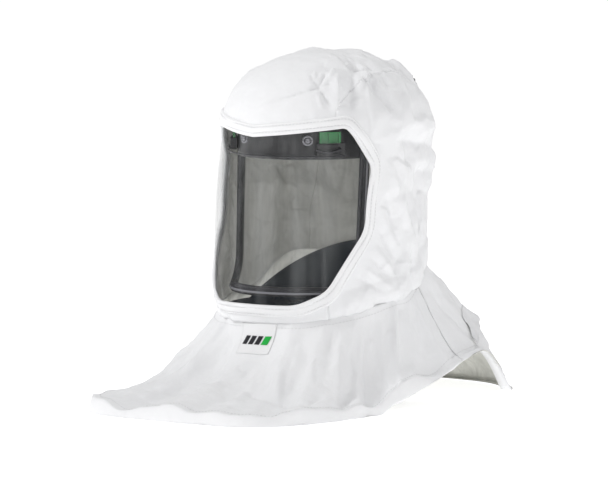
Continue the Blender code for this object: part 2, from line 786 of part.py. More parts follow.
def brow_size():
    """Half width and depth of the brow panel's outer face."""
    inset = VISOR_LENS + 2 * SOFT_GAP
    return VISOR_HALF_WIDTH - inset, VISOR_DEPTH - inset


def brow_x(y):
    """Where the brow panel's outer face stands at this Y."""
    half_width, depth = brow_size()
    return half_width * math.sqrt(1 - (y / depth) ** 2)


def make_brow_panel():
    half_width, depth = brow_size()
    bow = reversed(bow_path(half_width, depth, 0, math.pi / 2, 45))
    path = [(half_width, BROW_TAIL), *bow, (-half_width, BROW_TAIL)]
    panel = add_mesh("brow_panel", ribbon(path, BROW_BOTTOM, BROW_TOP), BLACK, head)
    solidify(panel, BROW_THICKNESS, 1)
    hole = rod(PIVOT_PIN_RADIUS + PIVOT_CLEARANCE, (-0.2, PIVOT_Y, BAND_Z), (0.2, PIVOT_Y, BAND_Z))
    boolean(panel, add_cutter("pivot_hole", hole))


def make_frame_screws():
    base = FRAME_THICKNESS + CLEAR
    gasket_edge = FRAME_TOP - GASKET_INSET - GASKET_WIDTH
    height = gasket_edge - CLEAR - SCREW_HEAD_RADIUS
    for number, girth in enumerate(SCREW_GIRTHS, 1):
        start = on_visor(girth, height, base)
        end = on_visor(girth, height, base + SCREW_HEAD_HEIGHT)
        screw = rod(SCREW_HEAD_RADIUS, start, end, 20, SCREW_HEAD_RADIUS * 0.75)
        add_mesh(f"frame_screw_{number}", screw, STEEL, head)


# --- Latches ----------------------------------------------------------------------------------------
def latch_place(sign):
    """Where a latch sits on the brow panel's outer face, and its turn about Z."""
    half_width, depth = brow_size()
    point, normal = on_bow(half_width, depth, 2, LATCH_GIRTH * sign)
    return Vector((point.x, point.y, POCKET_BOTTOM)), math.atan2(normal.x, -normal.y)


def local_piece(name, mesh_edit, spec, mount):
    """A piece drawn in its mount's own coordinates: -Y is outward."""
    piece = add_mesh(name, mesh_edit, spec, mount)
    piece.location = (0, 0, 0)
    return piece


def local_cutter(name, mesh_edit, mount):
    cutter = add_cutter(name, mesh_edit)
    cutter.parent = mount
    return cutter


def make_latch(side, sign):
    place, turn = latch_place(sign)
    mount = empty(f"{side}_latch_seat", place, head, turn)
    behind = CLEAR + 0.0002
    size = POCKET_SIZE
    middle_y = -behind - size.y / 2
    pocket = local_piece(
        f"{side}_latch_pocket", block(size, (0, middle_y, size.z / 2)), BLACK, mount
    )
    well = Vector((TAB_SIZE.x + 2 * CLEAR, TAB_SIZE.y + 2 * CLEAR, size.z))
    well_y = -behind - POCKET_WALL * 0.8 - well.y / 2
    boolean(pocket, local_cutter(f"{side}_well", block(well, (0, well_y, POCKET_WALL + well.z / 2)), mount))
    slot_z = size.z * 0.62
    boolean(
        pocket,
        local_cutter(f"{side}_slot", block(POCKET_SLOT, (0, -behind - size.y, slot_z)), mount),
    )
    lip_plan = bow_path(size.x / 2, size.y + LIP_REACH, -behind, math.pi / 2, 17)
    lip = prism(lip_plan, -LIP_HEIGHT / 2, LIP_HEIGHT / 2)
    boolean(pocket, local_cutter(f"{side}_lip", lip, mount), "UNION")

    tab_mount = empty(f"{side}_latch_slide", place, head, turn)
    tab_bottom = POCKET_WALL + LATCH_TRAVEL + CLEAR
    tab = local_piece(
        f"{side}_latch_tab", block(TAB_SIZE, (0, well_y, tab_bottom + TAB_SIZE.z / 2)), GREEN, tab_mount
    )
    window_z = tab_bottom + TAB_SIZE.z * 0.62
    for k in (-1, 1):
        window = block(TAB_WINDOW, (k * TAB_SIZE.x * 0.235, well_y - TAB_SIZE.y / 2, window_z))
        boolean(tab, local_cutter(f"{side}_window_{k}", window, tab_mount))


# --- Air duct ---------------------------------------------------------------------------------------
def duct_point(angle, x, rise):
    """A point on the duct's arch: angle runs from the brow over the crown to the nape."""
    y = -(DUCT_BASE_LENGTH + rise) * math.cos(angle)
    return (x, y, BAND_Z + (DUCT_BASE_RISE + rise) * math.sin(angle))


def duct_angles():
    return list(np.linspace(DUCT_FRONT_ANGLE, DUCT_REAR_ANGLE, 17))


def arched(section, angles):
    """A closed section swept over the crown and capped at both ends."""
    made = grid([[duct_point(a, x, r) for x, r in section] for a in angles], closed=True)
    edge = len(section)
    made.verts.ensure_lookup_table()
    made.faces.new([made.verts[i] for i in range(edge)])
    made.faces.new([made.verts[len(made.verts) - edge + i] for i in range(edge)])
    bmesh.ops.recalc_face_normals(made, faces=made.faces)
    return made


def make_duct():
    half, wall, height = DUCT_HALF_WIDTH, DUCT_WALL, DUCT_HEIGHT
    angles = duct_angles()
    rim = height - wall - CLEAR
    tray = [
        (-half, 0), (half, 0), (half, rim), (half - wall, rim),
        (half - wall, wall), (-half + wall, wall), (-half + wall, rim), (-half, rim),
    ]
    add_mesh("duct_tray", arched(tray, angles), BLACK, head)
    lid_half = half - wall - CLEAR
    lip = wall + CLEAR
    lid = [
        (-half, height - wall), (-lid_half, height - wall), (-lid_half, height - wall - lip),
        (-lid_half + wall, height - wall - lip), (-lid_half + wall, height - wall),
        (lid_half - wall, height - wall), (lid_half - wall, height - wall - lip),
        (lid_half, height - wall - lip), (lid_half, height - wall), (half, height - wall),
        (half, height), (-half, height),
    ]
    add_mesh("duct_cover", arched(lid, angles), BLACK, head)


def make_diffuser():
    half_width, depth = brow_size()
    inset = BROW_THICKNESS + 2 * CLEAR
    outer = (half_width - inset, depth - inset)
    loops = []
    for shrink in (0.0, DIFFUSER_WALL):
        swing = DIFFUSER_HALF_ANGLE - shrink / outer[1]
        front = bow_path(outer[0] - shrink, outer[1] - shrink, 0, swing, 17)
        back_inset = DIFFUSER_DEPTH - shrink
        back = bow_path(outer[0] - back_inset, outer[1] - back_inset, 0, swing, 17)
        loops.append(front + back[::-1])
    height = DIFFUSER_TOP - DIFFUSER_BOTTOM
    middle = (0, 0, (DIFFUSER_TOP + DIFFUSER_BOTTOM) / 2)
    flat_outline("air_diffuser", loops, height, BLACK, head, middle)

    vane_y = -outer[1] + DIFFUSER_DEPTH / 2
    vane_z = DIFFUSER_BOTTOM + VANE_SIZE.z
    mount = empty("vane_axis", (0, vane_y, vane_z), head)
    vane = local_piece("air_vane", block(VANE_SIZE, (0, 0, 0)), BLACK, mount)
    lever = block(VANE_LEVER, (0, 0, -VANE_LEVER.z / 2))
    boolean(vane, local_cutter("vane_lever", lever, mount), "UNION")


def make_inlet():
    depth = PLENUM_REAR - PLENUM_FRONT
    size = Vector((2 * PLENUM_HALF_WIDTH, depth, PLENUM_HEIGHT))
    middle = Vector((0, (PLENUM_FRONT + PLENUM_REAR) / 2, INLET_Z))
    plenum = add_mesh("inlet_plenum", block(size, middle), BLACK, head)
    stub = rod(STUB_RADIUS, (0, PLENUM_REAR - PLENUM_WALL, INLET_Z), (0, STUB_END, INLET_Z), 40)
    boolean(plenum, add_cutter("stub", stub), "UNION")
    room = size - 2 * Vector((PLENUM_WALL,) * 3)
    boolean(plenum, add_cutter("plenum_room", block(room, middle)))
    bore = rod(STUB_BORE, (0, PLENUM_REAR - 2 * PLENUM_WALL, INLET_Z), (0, STUB_END + 0.01, INLET_Z), 40)
    boolean(plenum, add_cutter("stub_bore", bore))
    half, low, high = DUCT_HALF_WIDTH + CLEAR, -CLEAR, DUCT_HEIGHT + CLEAR
    mouth_angles = duct_angles()[-4:-1] + [DUCT_REAR_ANGLE + 0.02]
    mouth = arched([(-half, low), (half, low), (half, high), (-half, high)], mouth_angles)
    boolean(plenum, add_cutter("duct_mouth", mouth))

    rearward = (math.radians(-90), 0, 0)
    cuff_bore = STUB_RADIUS + CLEAR
    flat_outline(
        "inlet_cuff", (circle(cuff_bore + CUFF_WALL, 36), circle(cuff_bore, 36)), CUFF_REAR - CUFF_FRONT,
        RUBBER, head, (0, (CUFF_FRONT + CUFF_REAR) / 2, INLET_Z), rearward,
    )

    mount = empty("inlet_axis", (0, (SWIVEL_FRONT + SWIVEL_REAR) / 2, INLET_Z), head)
    ribs = [
        (
            (SWIVEL_RADIUS + SWIVEL_RIB_HEIGHT * math.cos(SWIVEL_RIBS * t)) * math.cos(t),
            (SWIVEL_RADIUS + SWIVEL_RIB_HEIGHT * math.cos(SWIVEL_RIBS * t)) * math.sin(t),
        )
        for t in around(SWIVEL_RIBS * 5)
    ]
    bore_radius = STUB_RADIUS + CLEAR
    curve = flat_outline(
        "swivel_blank", (ribs, circle(bore_radius, 40)), SWIVEL_REAR - SWIVEL_FRONT,
        BLACK, mount, MOUNTS["inlet_axis"], rearward,
    )
    swivel = mesh_from_curve(curve, "inlet_swivel", mount)
    seat = BUTTON_SIZE + 2 * Vector((CLEAR,) * 3)
    button_z = SWIVEL_RADIUS + BUTTON_PROUD - BUTTON_SIZE.z / 2
    seat_depth = BUTTON_TRAVEL + CLEAR
    boolean(swivel, local_cutter("button_seat", block(
        (seat.x, seat.y, BUTTON_SIZE.z + 2 * seat_depth), (0, 0, button_z)), mount))
    button_mount = empty("button_axis", MOUNTS["inlet_axis"], head)
    button = local_piece("release_button", block(BUTTON_SIZE, (0, 0, button_z)), GREEN, button_mount)
    bevel(button, 0.0006)


def mesh_from_curve(curve, name, mount):
    """Turns a plate into a welded mesh, so that it can be cut."""
    graph = bpy.context.evaluated_depsgraph_get()
    data = bpy.data.meshes.new_from_object(curve.evaluated_get(graph))
    edit = bmesh.new()
    edit.from_mesh(data)
    bmesh.ops.remove_doubles(edit, verts=edit.verts, dist=1e-6)
    bmesh.ops.recalc_face_normals(edit, faces=edit.faces)
    edit.to_mesh(data)
    edit.free()
    data.name = name
    made = bpy.data.objects.new(name, data)
    made.parent = mount
    made.location = curve.location
    made.rotation_euler = curve.rotation_euler
    PARTS.objects.link(made)
    bpy.data.objects.remove(curve)
    return made


# --- Harness ----------------------------------------------------------------------------------------
def band_path(half_width, front, bow_start, tail_end, count=33):
    bow = bow_path(half_width, front + bow_start, bow_start, math.pi / 2, count)
    return [(-half_width, tail_end), *bow, (half_width, tail_end)]


def make_harness():
    low, high = BAND_Z - BAND_HEIGHT / 2, BAND_Z + BAND_HEIGHT / 2
    path = band_path(BAND_HALF_WIDTH, BAND_FRONT, BAND_BOW_START, BAND_TAIL_END)
    band = add_mesh("headband", ribbon(path, low, high), BLACK, harness)
    solidify(band, BAND_THICKNESS, 0)

    pad_inset = BAND_THICKNESS / 2 + CLEAR + PAD_THICKNESS / 2
    pad_depth = BAND_FRONT + BAND_BOW_START - pad_inset
    pad_path = bow_path(BAND_HALF_WIDTH - pad_inset, pad_depth, BAND_BOW_START, BROW_PAD_ANGLE, 21)
    pad = add_mesh("brow_pad", ribbon(pad_path, low - PAD_OVERHANG, high + PAD_OVERHANG), FOAM, harness)
    solidify(pad, PAD_THICKNESS, 0)
    bevel(pad, 0.0012)

    strap_half = BAND_HALF_WIDTH - BAND_THICKNESS / 2 - CLEAR - STRAP_THICKNESS / 2
    for name, y in zip(("front_crown_strap", "rear_crown_strap"), STRAP_YS):
        rows = []
        for angle in np.linspace(0, math.pi, 25):
            x, z = strap_half * math.cos(angle), BAND_Z + (STRAP_TOP - BAND_Z) * math.sin(angle)
            rows.append([(x, y - STRAP_WIDTH / 2, z), (x, y + STRAP_WIDTH / 2, z)])
        strap = add_mesh(name, grid(rows), BLACK, harness)
        solidify(strap, STRAP_THICKNESS, 0)

    bridge_length = STRAP_YS[1] - STRAP_YS[0] + STRAP_WIDTH
    bridge_z = STRAP_TOP + STRAP_THICKNESS + CLEAR
    bridge_y = sum(STRAP_YS) / 2
    bridge_size = (STRAP_WIDTH, bridge_length, STRAP_THICKNESS)
    bridge = add_mesh("crown_bridge", block(bridge_size, (0, bridge_y, bridge_z)), BLACK, harness)
    bevel(bridge, 0.0004, 1)
    pad_z = STRAP_TOP - STRAP_THICKNESS - 3 * CLEAR - CROWN_PAD_THICKNESS / 2
    crown_pad = add_mesh(
        "crown_pad",
        block((2.2 * STRAP_WIDTH, bridge_length, CROWN_PAD_THICKNESS), (0, bridge_y, pad_z - 0.003)),
        FOAM, harness,
    )
    bevel(crown_pad, 0.0015)

    boss_start = BAND_HALF_WIDTH + BAND_THICKNESS / 2 + CLEAR
    boss_end = brow_x(PIVOT_Y - BOSS_RADIUS) - BROW_THICKNESS - 2 * CLEAR
    knob_start = brow_x(PIVOT_Y + PIVOT_HEAD_RADIUS) + 2 * CLEAR
    for side, sign in (("left", 1), ("right", -1)):
        axis = Vector((0, PIVOT_Y, BAND_Z))
        outward = Vector((sign, 0, 0))
        boss = add_mesh(
            f"{side}_pivot_boss",
            rod(BOSS_RADIUS, axis + outward * boss_start, axis + outward * boss_end), BLACK, harness,
        )
        hole_start = axis + outward * boss_start * 0.9
        hole = rod(PIVOT_PIN_RADIUS + PIVOT_CLEARANCE, hole_start, axis + outward * 0.12)
        boolean(boss, add_cutter(f"{side}_boss_hole", hole))
        knob_base = axis + outward * knob_start
        knob_disc = rod(PIVOT_HEAD_RADIUS, knob_base, knob_base + outward * PIVOT_HEAD_HEIGHT)
        knob = add_mesh(f"{side}_pivot_screw", knob_disc, BLACK, head)
        pin = rod(PIVOT_PIN_RADIUS, axis + outward * (boss_start + CLEAR), knob_base + outward * 0.001)
        boolean(knob, add_cutter(f"{side}_pin", pin), "UNION")


# --- Nape cradle and ratchet ------------------------------------------------------------------------
def make_cradle():
    low, high = BAND_Z - BAND_HEIGHT / 2, BAND_Z + BAND_HEIGHT / 2
    half = BAND_HALF_WIDTH + BAND_THICKNESS / 2 + CRADLE_GAP + CRADLE_THICKNESS / 2
    depth = CRADLE_REAR - CRADLE_THICKNESS / 2 - CRADLE_BOW_START
    bow = bow_path(half, depth, CRADLE_BOW_START, math.pi / 2, 33, rear=True)
    path = [(-half, CRADLE_ARM_START), *bow, (half, CRADLE_ARM_START)]
    cradle = add_mesh("nape_cradle", ribbon(path, low, high), BLACK, nape)
    solidify(cradle, CRADLE_THICKNESS, 0)
    inset = CRADLE_THICKNESS / 2 + CLEAR + PAD_THICKNESS / 2
    pad_path = bow_path(half - inset, depth - inset, CRADLE_BOW_START, NAPE_PAD_ANGLE, 17, rear=True)
    pad = add_mesh("nape_pad", ribbon(pad_path, low - PAD_OVERHANG, high + PAD_OVERHANG), FOAM, nape)
    solidify(pad, PAD_THICKNESS, 0)
    bevel(pad, 0.0012)


def gear_outline(radius, teeth):
    points = []
    pitch = 2 * math.pi / teeth
    for i in range(teeth):
        middle = i * pitch
        for share, r in ((-0.36, -TOOTH_ROOT), (-0.14, TOOTH_TIP), (0.14, TOOTH_TIP), (0.36, -TOOTH_ROOT)):
            angle = middle + share * pitch * TOOTH_SHARE * 1.6
            points.append(((radius + r) * math.cos(angle), (radius + r) * math.sin(angle)))
    return points


def rack_outline(inner_end, outer_end, phase):
    """A toothed bar along X: its teeth point down from its pitch line at y = 0."""
    pitch = 2 * math.pi * PINION_RADIUS / PINION_TEETH
    back = TOOTH_ROOT + RACK_BACK
    points = [(inner_end, back), (inner_end, TOOTH_ROOT)]
    first = math.ceil((inner_end + pitch / 2 - phase) / pitch)
    last = math.floor((outer_end - pitch / 2 - phase) / pitch)
    for k in range(first, last + 1):
        middle = phase + k * pitch
        for share, y in ((-0.36, TOOTH_ROOT), (-0.14, -TOOTH_TIP), (0.14, -TOOTH_TIP), (0.36, TOOTH_ROOT)):
            points.append((middle + share * pitch * TOOTH_SHARE * 1.6, y))
    return points + [(outer_end, TOOTH_ROOT), (outer_end, back)]


def make_ratchet():
    centre = Vector((0, 0, RATCHET_Z))
    housing_front = CRADLE_REAR + 2 * CLEAR
    housing_rear = housing_front + HOUSING_DEPTH
    middle = centre + Vector((0, (housing_front + housing_rear) / 2, 0))
    size = Vector((2 * HOUSING_HALF_LENGTH, HOUSING_DEPTH, HOUSING_HEIGHT))
    housing = add_mesh("ratchet_housing", block(size, middle), BLACK, nape)
    room = Vector((size.x * 2, size.y, size.z - 2 * HOUSING_WALL))
    boolean(housing, add_cutter("housing_room", block(room, middle + Vector((0, HOUSING_WALL, 0)))))

    rearward = (math.radians(-90), 0, 0)
    cover_y = housing_rear + CLEAR + COVER_THICKNESS / 2
    half_x, half_z = size.x / 2, size.z / 2
    corners = ((-half_x, -half_z), (half_x, -half_z), (half_x, half_z), (-half_x, half_z))
    plate = rounded([(*corner, 0.004) for corner in corners], 4)
    flat_outline(
        "ratchet_cover", (plate, circle(SHAFT_RADIUS + SHAFT_CLEARANCE, 28)), COVER_THICKNESS,
        BLACK, nape, centre + Vector((0, cover_y, 0)), rearward,
    )
    for side, sign in (("left", 1), ("right", -1)):
        start = centre + Vector((sign * COVER_SCREW_X, cover_y + COVER_THICKNESS / 2 + CLEAR, 0))
        end = start + Vector((0, COVER_SCREW_HEAD, 0))
        add_mesh(f"{side}_cover_screw", rod(COVER_SCREW_RADIUS, start, end, 20), STEEL, nape)

    rack_y = housing_front + HOUSING_WALL + CLEAR + RACK_THICKNESS / 2
    shaft_start = rack_y - RACK_THICKNESS / 2
    knob_start = cover_y + COVER_THICKNESS / 2 + 2 * CLEAR
    lobes = [
        (
            (KNOB_RADIUS + KNOB_LOBE_HEIGHT * math.cos(KNOB_LOBES * t)) * math.cos(t),
            (KNOB_RADIUS + KNOB_LOBE_HEIGHT * math.cos(KNOB_LOBES * t)) * math.sin(t),
        )
        for t in around(KNOB_LOBES * 6)
    ]
    blank = flat_outline(
        "knob_blank", (lobes,), KNOB_LENGTH, GREEN, knob_mount,
        centre + Vector((0, knob_start + KNOB_LENGTH / 2, 0)), rearward,
    )
    knob = mesh_from_curve(blank, "ratchet_knob", knob_mount)
    shaft_end = knob_start + 0.001
    shaft = rod(SHAFT_RADIUS, centre + Vector((0, shaft_start, 0)), centre + Vector((0, shaft_end, 0)), 28)
    boolean(knob, add_cutter("knob_shaft", shaft), "UNION")
    flat_outline(
        "ratchet_pinion", (gear_outline(PINION_RADIUS, PINION_TEETH), circle(SHAFT_RADIUS + 0.0001, 28)),
        RACK_THICKNESS, STEEL, knob_mount, centre + Vector((0, rack_y, 0)), rearward,
    )
    pitch = 2 * math.pi * PINION_RADIUS / PINION_TEETH
    # Turned to face rearward, an outline's +Y is down, so the upper rack is turned over about Y.
    quarter = PINION_TEETH / 4
    phase = pitch * (0.5 + (quarter % 1))
    for name, sign, mount in (("left_rack", 1, left_rack_mount), ("right_rack", -1, right_rack_mount)):
        teeth = rack_outline(-RACK_INNER_END, RACK_OUTER_END, phase)
        turned_over = 0 if sign > 0 else math.radians(180)
        flat_outline(
            name, (teeth,), RACK_THICKNESS, BLACK, mount,
            centre + Vector((0, rack_y, sign * PINION_RADIUS)), (math.radians(90), turned_over, 0),
        )


head = empty("head_centre", (0, HEAD_SHIFT, 0))
harness = empty("harness_pivot", (0, PIVOT_Y, BAND_Z), head)
nape = empty("nape_slide", (0, CRADLE_REAR, BAND_Z), head)
knob_mount = empty("ratchet_axis", (0, CRADLE_REAR, RATCHET_Z), head)
left_rack_mount = empty("left_rack_slide", (0, CRADLE_REAR, RATCHET_Z + PINION_RADIUS), head)
right_rack_mount = empty("right_rack_slide", (0, CRADLE_REAR, RATCHET_Z - PINION_RADIUS), head)

make_hood_panels()
make_hood_lens()
make_capes()
make_collar()
make_label()
make_visor()
make_brow_panel()
make_frame_screws()
make_latch("left", 1)
make_latch("right", -1)
make_duct()
make_diffuser()
make_inlet()
make_harness()
make_cradle()
make_ratchet()
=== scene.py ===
import math

import bpy
import numpy as np
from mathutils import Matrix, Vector


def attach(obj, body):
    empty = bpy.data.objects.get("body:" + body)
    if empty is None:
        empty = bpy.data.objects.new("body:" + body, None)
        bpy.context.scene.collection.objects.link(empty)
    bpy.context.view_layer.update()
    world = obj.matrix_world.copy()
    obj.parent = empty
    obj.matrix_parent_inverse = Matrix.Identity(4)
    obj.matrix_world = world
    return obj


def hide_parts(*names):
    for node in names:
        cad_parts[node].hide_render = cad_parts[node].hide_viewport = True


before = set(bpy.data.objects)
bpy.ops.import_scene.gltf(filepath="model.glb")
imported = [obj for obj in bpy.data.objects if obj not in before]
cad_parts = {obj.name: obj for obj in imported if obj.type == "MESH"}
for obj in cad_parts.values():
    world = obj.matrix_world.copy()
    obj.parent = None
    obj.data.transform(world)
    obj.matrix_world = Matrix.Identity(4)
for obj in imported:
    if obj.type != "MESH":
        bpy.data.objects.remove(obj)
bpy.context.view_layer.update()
print("frame loaded")

headY = 0.031  # the middle of the wearer's head, in the object's own frame

# the hood's plan: an egg that leans out at the lens and tucks in at the nape
hoodShape = {
    "top": 0.418, "crownStart": 0.325, "crownPower": 2.2,
    "halfWidth": 0.119, "front": 0.138, "rear": 0.140,
    "lensBulge": 0.024, "bulgeHeight": 0.200,
    "napeTuck": 0.028, "tuckTop": 0.290, "tuckDepth": 0.090,
    "frontPower": 1.9, "rearPower": 2.1,
    "seamFront": 0.106, "seamSide": 0.127, "seamRear": 0.168, "seamRise": 0.085,
}


# ---- helpers for points and meshes
def smoothStep(t):
    t = np.clip(t, 0.0, 1.0)
    return t * t * (3 - 2 * t)


def mixed(a, b, t):
    return a + (b - a) * t


def planPoint(halfWidth, depth, power, angle):
    # angle 0 is straight ahead (-Y), a quarter turn is the wearer's left (+X)
    s, c = np.sin(angle), np.cos(angle)
    x = np.sign(s) * np.abs(s) ** (2 / power) * halfWidth
    y = -np.sign(c) * np.abs(c) ** (2 / power) * depth
    return x, y


def hoodReach(z):
    h = hoodShape
    sweep = math.pi / 2 * np.maximum(0.0, h["crownStart"] - z) / (h["crownStart"] - h["bulgeHeight"])
    front = h["front"] + h["lensBulge"] * np.maximum(0.0, np.sin(np.minimum(math.pi, sweep)))
    rear = h["rear"] - h["napeTuck"] * smoothStep((h["tuckTop"] - z) / h["tuckDepth"])
    return front, rear


def wallPoints(angle, z, share=1.0, inset=0.0):
    h = hoodShape
    front, rear = hoodReach(z)
    ahead = np.cos(angle) > 0
    depth = np.where(ahead, front, rear) - inset
    power = np.where(ahead, h["frontPower"], h["rearPower"])
    x, y = planPoint(h["halfWidth"] - inset, depth, power, angle)
    return np.stack([x * share, y * share + headY, z + 0 * x], -1)


def seamHeight(angle):
    h = hoodShape
    y = -np.cos(angle) * h["front"]
    chin = (h["seamSide"] - h["seamFront"]) * smoothStep(1 + y / h["front"])
    return h["seamFront"] + chin + (h["seamRear"] - h["seamSide"]) * smoothStep(y / h["seamRise"])


def resampled(points, count, closed=True):
    points = np.asarray(points, float)
    if closed:
        points = np.vstack([points, points[:1]])
    steps = np.linalg.norm(np.diff(points, axis=0), axis=1)
    lengths = np.concatenate([[0], np.cumsum(steps)])
    wanted = np.linspace(0, lengths[-1], count, endpoint=not closed)
    return np.stack([np.interp(wanted, lengths, points[:, k]) for k in range(points.shape[1])], 1)


def gridNormals(grid, closed=False):
    if closed:
        across = np.roll(grid, -1, 1) - np.roll(grid, 1, 1)
    else:
        across = np.gradient(grid, axis=1)
    up = np.gradient(grid, axis=0)
    normal = np.cross(across, up)
    size = np.linalg.norm(normal, axis=2, keepdims=True)
    return normal / np.maximum(size, 1e-12)


def gridFaces(rows, columns, closed=False, keep=None):
    wide = columns if closed else columns - 1
    r, c = np.meshgrid(np.arange(rows - 1), np.arange(wide), indexing="ij")
    n = (c + 1) % columns
    faces = np.stack([r * columns + c, r * columns + n, (r + 1) * columns + n, (r + 1) * columns + c], -1)
    faces = faces.reshape(-1, 4)
    return faces if keep is None else faces[keep.reshape(-1)]


def makePiece(name, points, faces, material=None, smooth=True):
    points = np.asarray(points, float).reshape(-1, 3)
    faces = np.asarray(faces)
    used, index = np.unique(faces.reshape(-1), return_inverse=True)
    mesh = bpy.data.meshes.new(name)
    mesh.from_pydata(points[used].tolist(), [], index.reshape(faces.shape).tolist())
    mesh.validate()
    piece = bpy.data.objects.new(name, mesh)
    bpy.context.scene.collection.objects.link(piece)
    if smooth:
        mesh.shade_smooth()
    if material:
        mesh.materials.append(material)
    return piece


def gridPiece(name, grid, material, closed=False, keep=None):
    rows, columns = grid.shape[:2]
    return makePiece(name, grid, gridFaces(rows, columns, closed, keep), material)


def loopPiece(name, loops, material):
    # a closed skin over a stack of closed loops whose last one meets the first
    loops = np.asarray(loops)
    stack = np.concatenate([loops, loops[:1]])
    rows, columns = stack.shape[:2]
    faces = gridFaces(rows, columns, True)
    faces[faces >= (rows - 1) * columns] -= (rows - 1) * columns
    return makePiece(name, stack[:-1], faces, material)


def thicken(piece, thickness, offset=-1.0, innerSlot=0):
    step = piece.modifiers.new("thickness", "SOLIDIFY")
    step.thickness = thickness
    step.offset = offset
    step.material_offset = innerSlot
    return piece


def facetHeights(points, size, tilt, seed, soft=0.10):
    # crumpled cloth: flat facets with random tilts that meet in soft creases
    rng = np.random.default_rng(seed)
    points = points.reshape(-1, 3) / size
    spread = np.prod(np.sort(np.ptp(points, axis=0))[1:])
    count = int(min(900, max(30, 2.6 * spread)))
    centres = points[rng.choice(len(points), count, replace=False)]
    centres = centres + rng.normal(0, 0.15, centres.shape)
    slopes = rng.normal(0, tilt, centres.shape)
    heights = np.empty(len(points))
    for start in range(0, len(points), 3000):
        part = points[start:start + 3000]
        gap = part[:, None] - centres[None]
        square = (gap ** 2).sum(-1)
        weight = np.exp(-(square - square.min(1, keepdims=True)) / soft)
        tilted = np.einsum("ijk,jk->ij", gap, slopes)
        heights[start:start + 3000] = (weight * tilted).sum(1) / weight.sum(1)
    return heights * size


def foldHeights(across, along, folds):
    # each fold runs from (a0, l0) to (a1, l1) on the cloth; a negative height is a valley
    total = np.zeros_like(across)
    for a0, l0, a1, l1, width, height in folds:
        start, run = np.array([a0, l0]), np.array([a1 - a0, l1 - l0])
        length = np.linalg.norm(run)
        share = ((across - start[0]) * run[0] + (along - start[1]) * run[1]) / length ** 2
        near = np.clip(share, 0, 1)
        gap = np.hypot(across - start[0] - near * run[0], along - start[1] - near * run[1])
        side = (across - start[0]) * run[1] - (along - start[1]) * run[0]
        steep = np.where(side > 0, 1.0, 1.5)  # one flank of a fold is always the steeper
        taper = 1 - 0.75 * (2 * near - 1) ** 4
        total += height * taper * np.exp(-(np.abs(gap) * steep / width) ** 1.4)
    return total


def tubePiece(name, path, radius, material, sides=10, closed=False, squash=1.0):
    path = np.asarray(path, float)
    if closed:
        tangent = np.roll(path, -1, 0) - np.roll(path, 1, 0)
    else:
        tangent = np.gradient(path, axis=0)
    tangent /= np.linalg.norm(tangent, axis=1)[:, None]
    ref = np.array([0.0, 0.0, 1.0])
    side = np.cross(tangent, ref)
    lost = np.linalg.norm(side, axis=1) < 1e-3
    side[lost] = np.array([1.0, 0.0, 0.0])
    side /= np.linalg.norm(side, axis=1)[:, None]
    up = np.cross(side, tangent)
    turns = np.linspace(0, 2 * math.pi, sides, endpoint=False)
    ring = np.cos(turns)[None, :, None] * side[:, None] + squash * np.sin(turns)[None, :, None] * up[:, None]
    grid = path[:, None] + radius * ring
    if closed:
        grid = np.concatenate([grid, grid[:1]])
        faces = gridFaces(len(grid), sides, True)
        faces[faces >= (len(grid) - 1) * sides] -= (len(grid) - 1) * sides
        return makePiece(name, grid[:-1], faces, material)
    piece = makePiece(name, grid, gridFaces(len(grid), sides, True), material)
    return piece


# ---- shader groups
def newGroup(name, inputs, outputs):
    group = bpy.data.node_groups.new(name, "ShaderNodeTree")
    for label, value in inputs:
        socket = group.interface.new_socket(label, in_out="INPUT", socket_type="NodeSocketFloat")
        socket.default_value = value
    for label, kind in outputs:
        group.interface.new_socket(label, in_out="OUTPUT", socket_type=kind)
    start = group.nodes.new("NodeGroupInput")
    end = group.nodes.new("NodeGroupOutput")
    return group, start, end


def addNode(tree, kind, links=None, **values):
    node = tree.nodes.new(kind)
    for key, value in values.items():
        if hasattr(node, key):
            setattr(node, key, value)
    for socket, source in (links or {}).items():
        target = node.inputs[socket]
        if isinstance(source, bpy.types.NodeSocket):
            tree.links.new(source, target)
        else:
            target.default_value = source
    return node


def mathNode(tree, operation, a, b=0.0, clamp=False):
    node = addNode(tree, "ShaderNodeMath", {0: a, 1: b}, operation=operation)
    node.use_clamp = clamp
    return node.outputs[0]


def noiseNode(tree, place, scale, detail=3.0, roughness=0.5, kind="FBM", distortion=0.0):
    node = addNode(tree, "ShaderNodeTexNoise", {"Vector": place}, noise_type=kind)
    settings = (("Scale", scale), ("Detail", detail), ("Roughness", roughness), ("Distortion", distortion))
    for socket, value in settings:
        if isinstance(value, bpy.types.NodeSocket):
            tree.links.new(value, node.inputs[socket])
        elif socket in node.inputs:
            node.inputs[socket].default_value = value
    return node.outputs["Fac"]


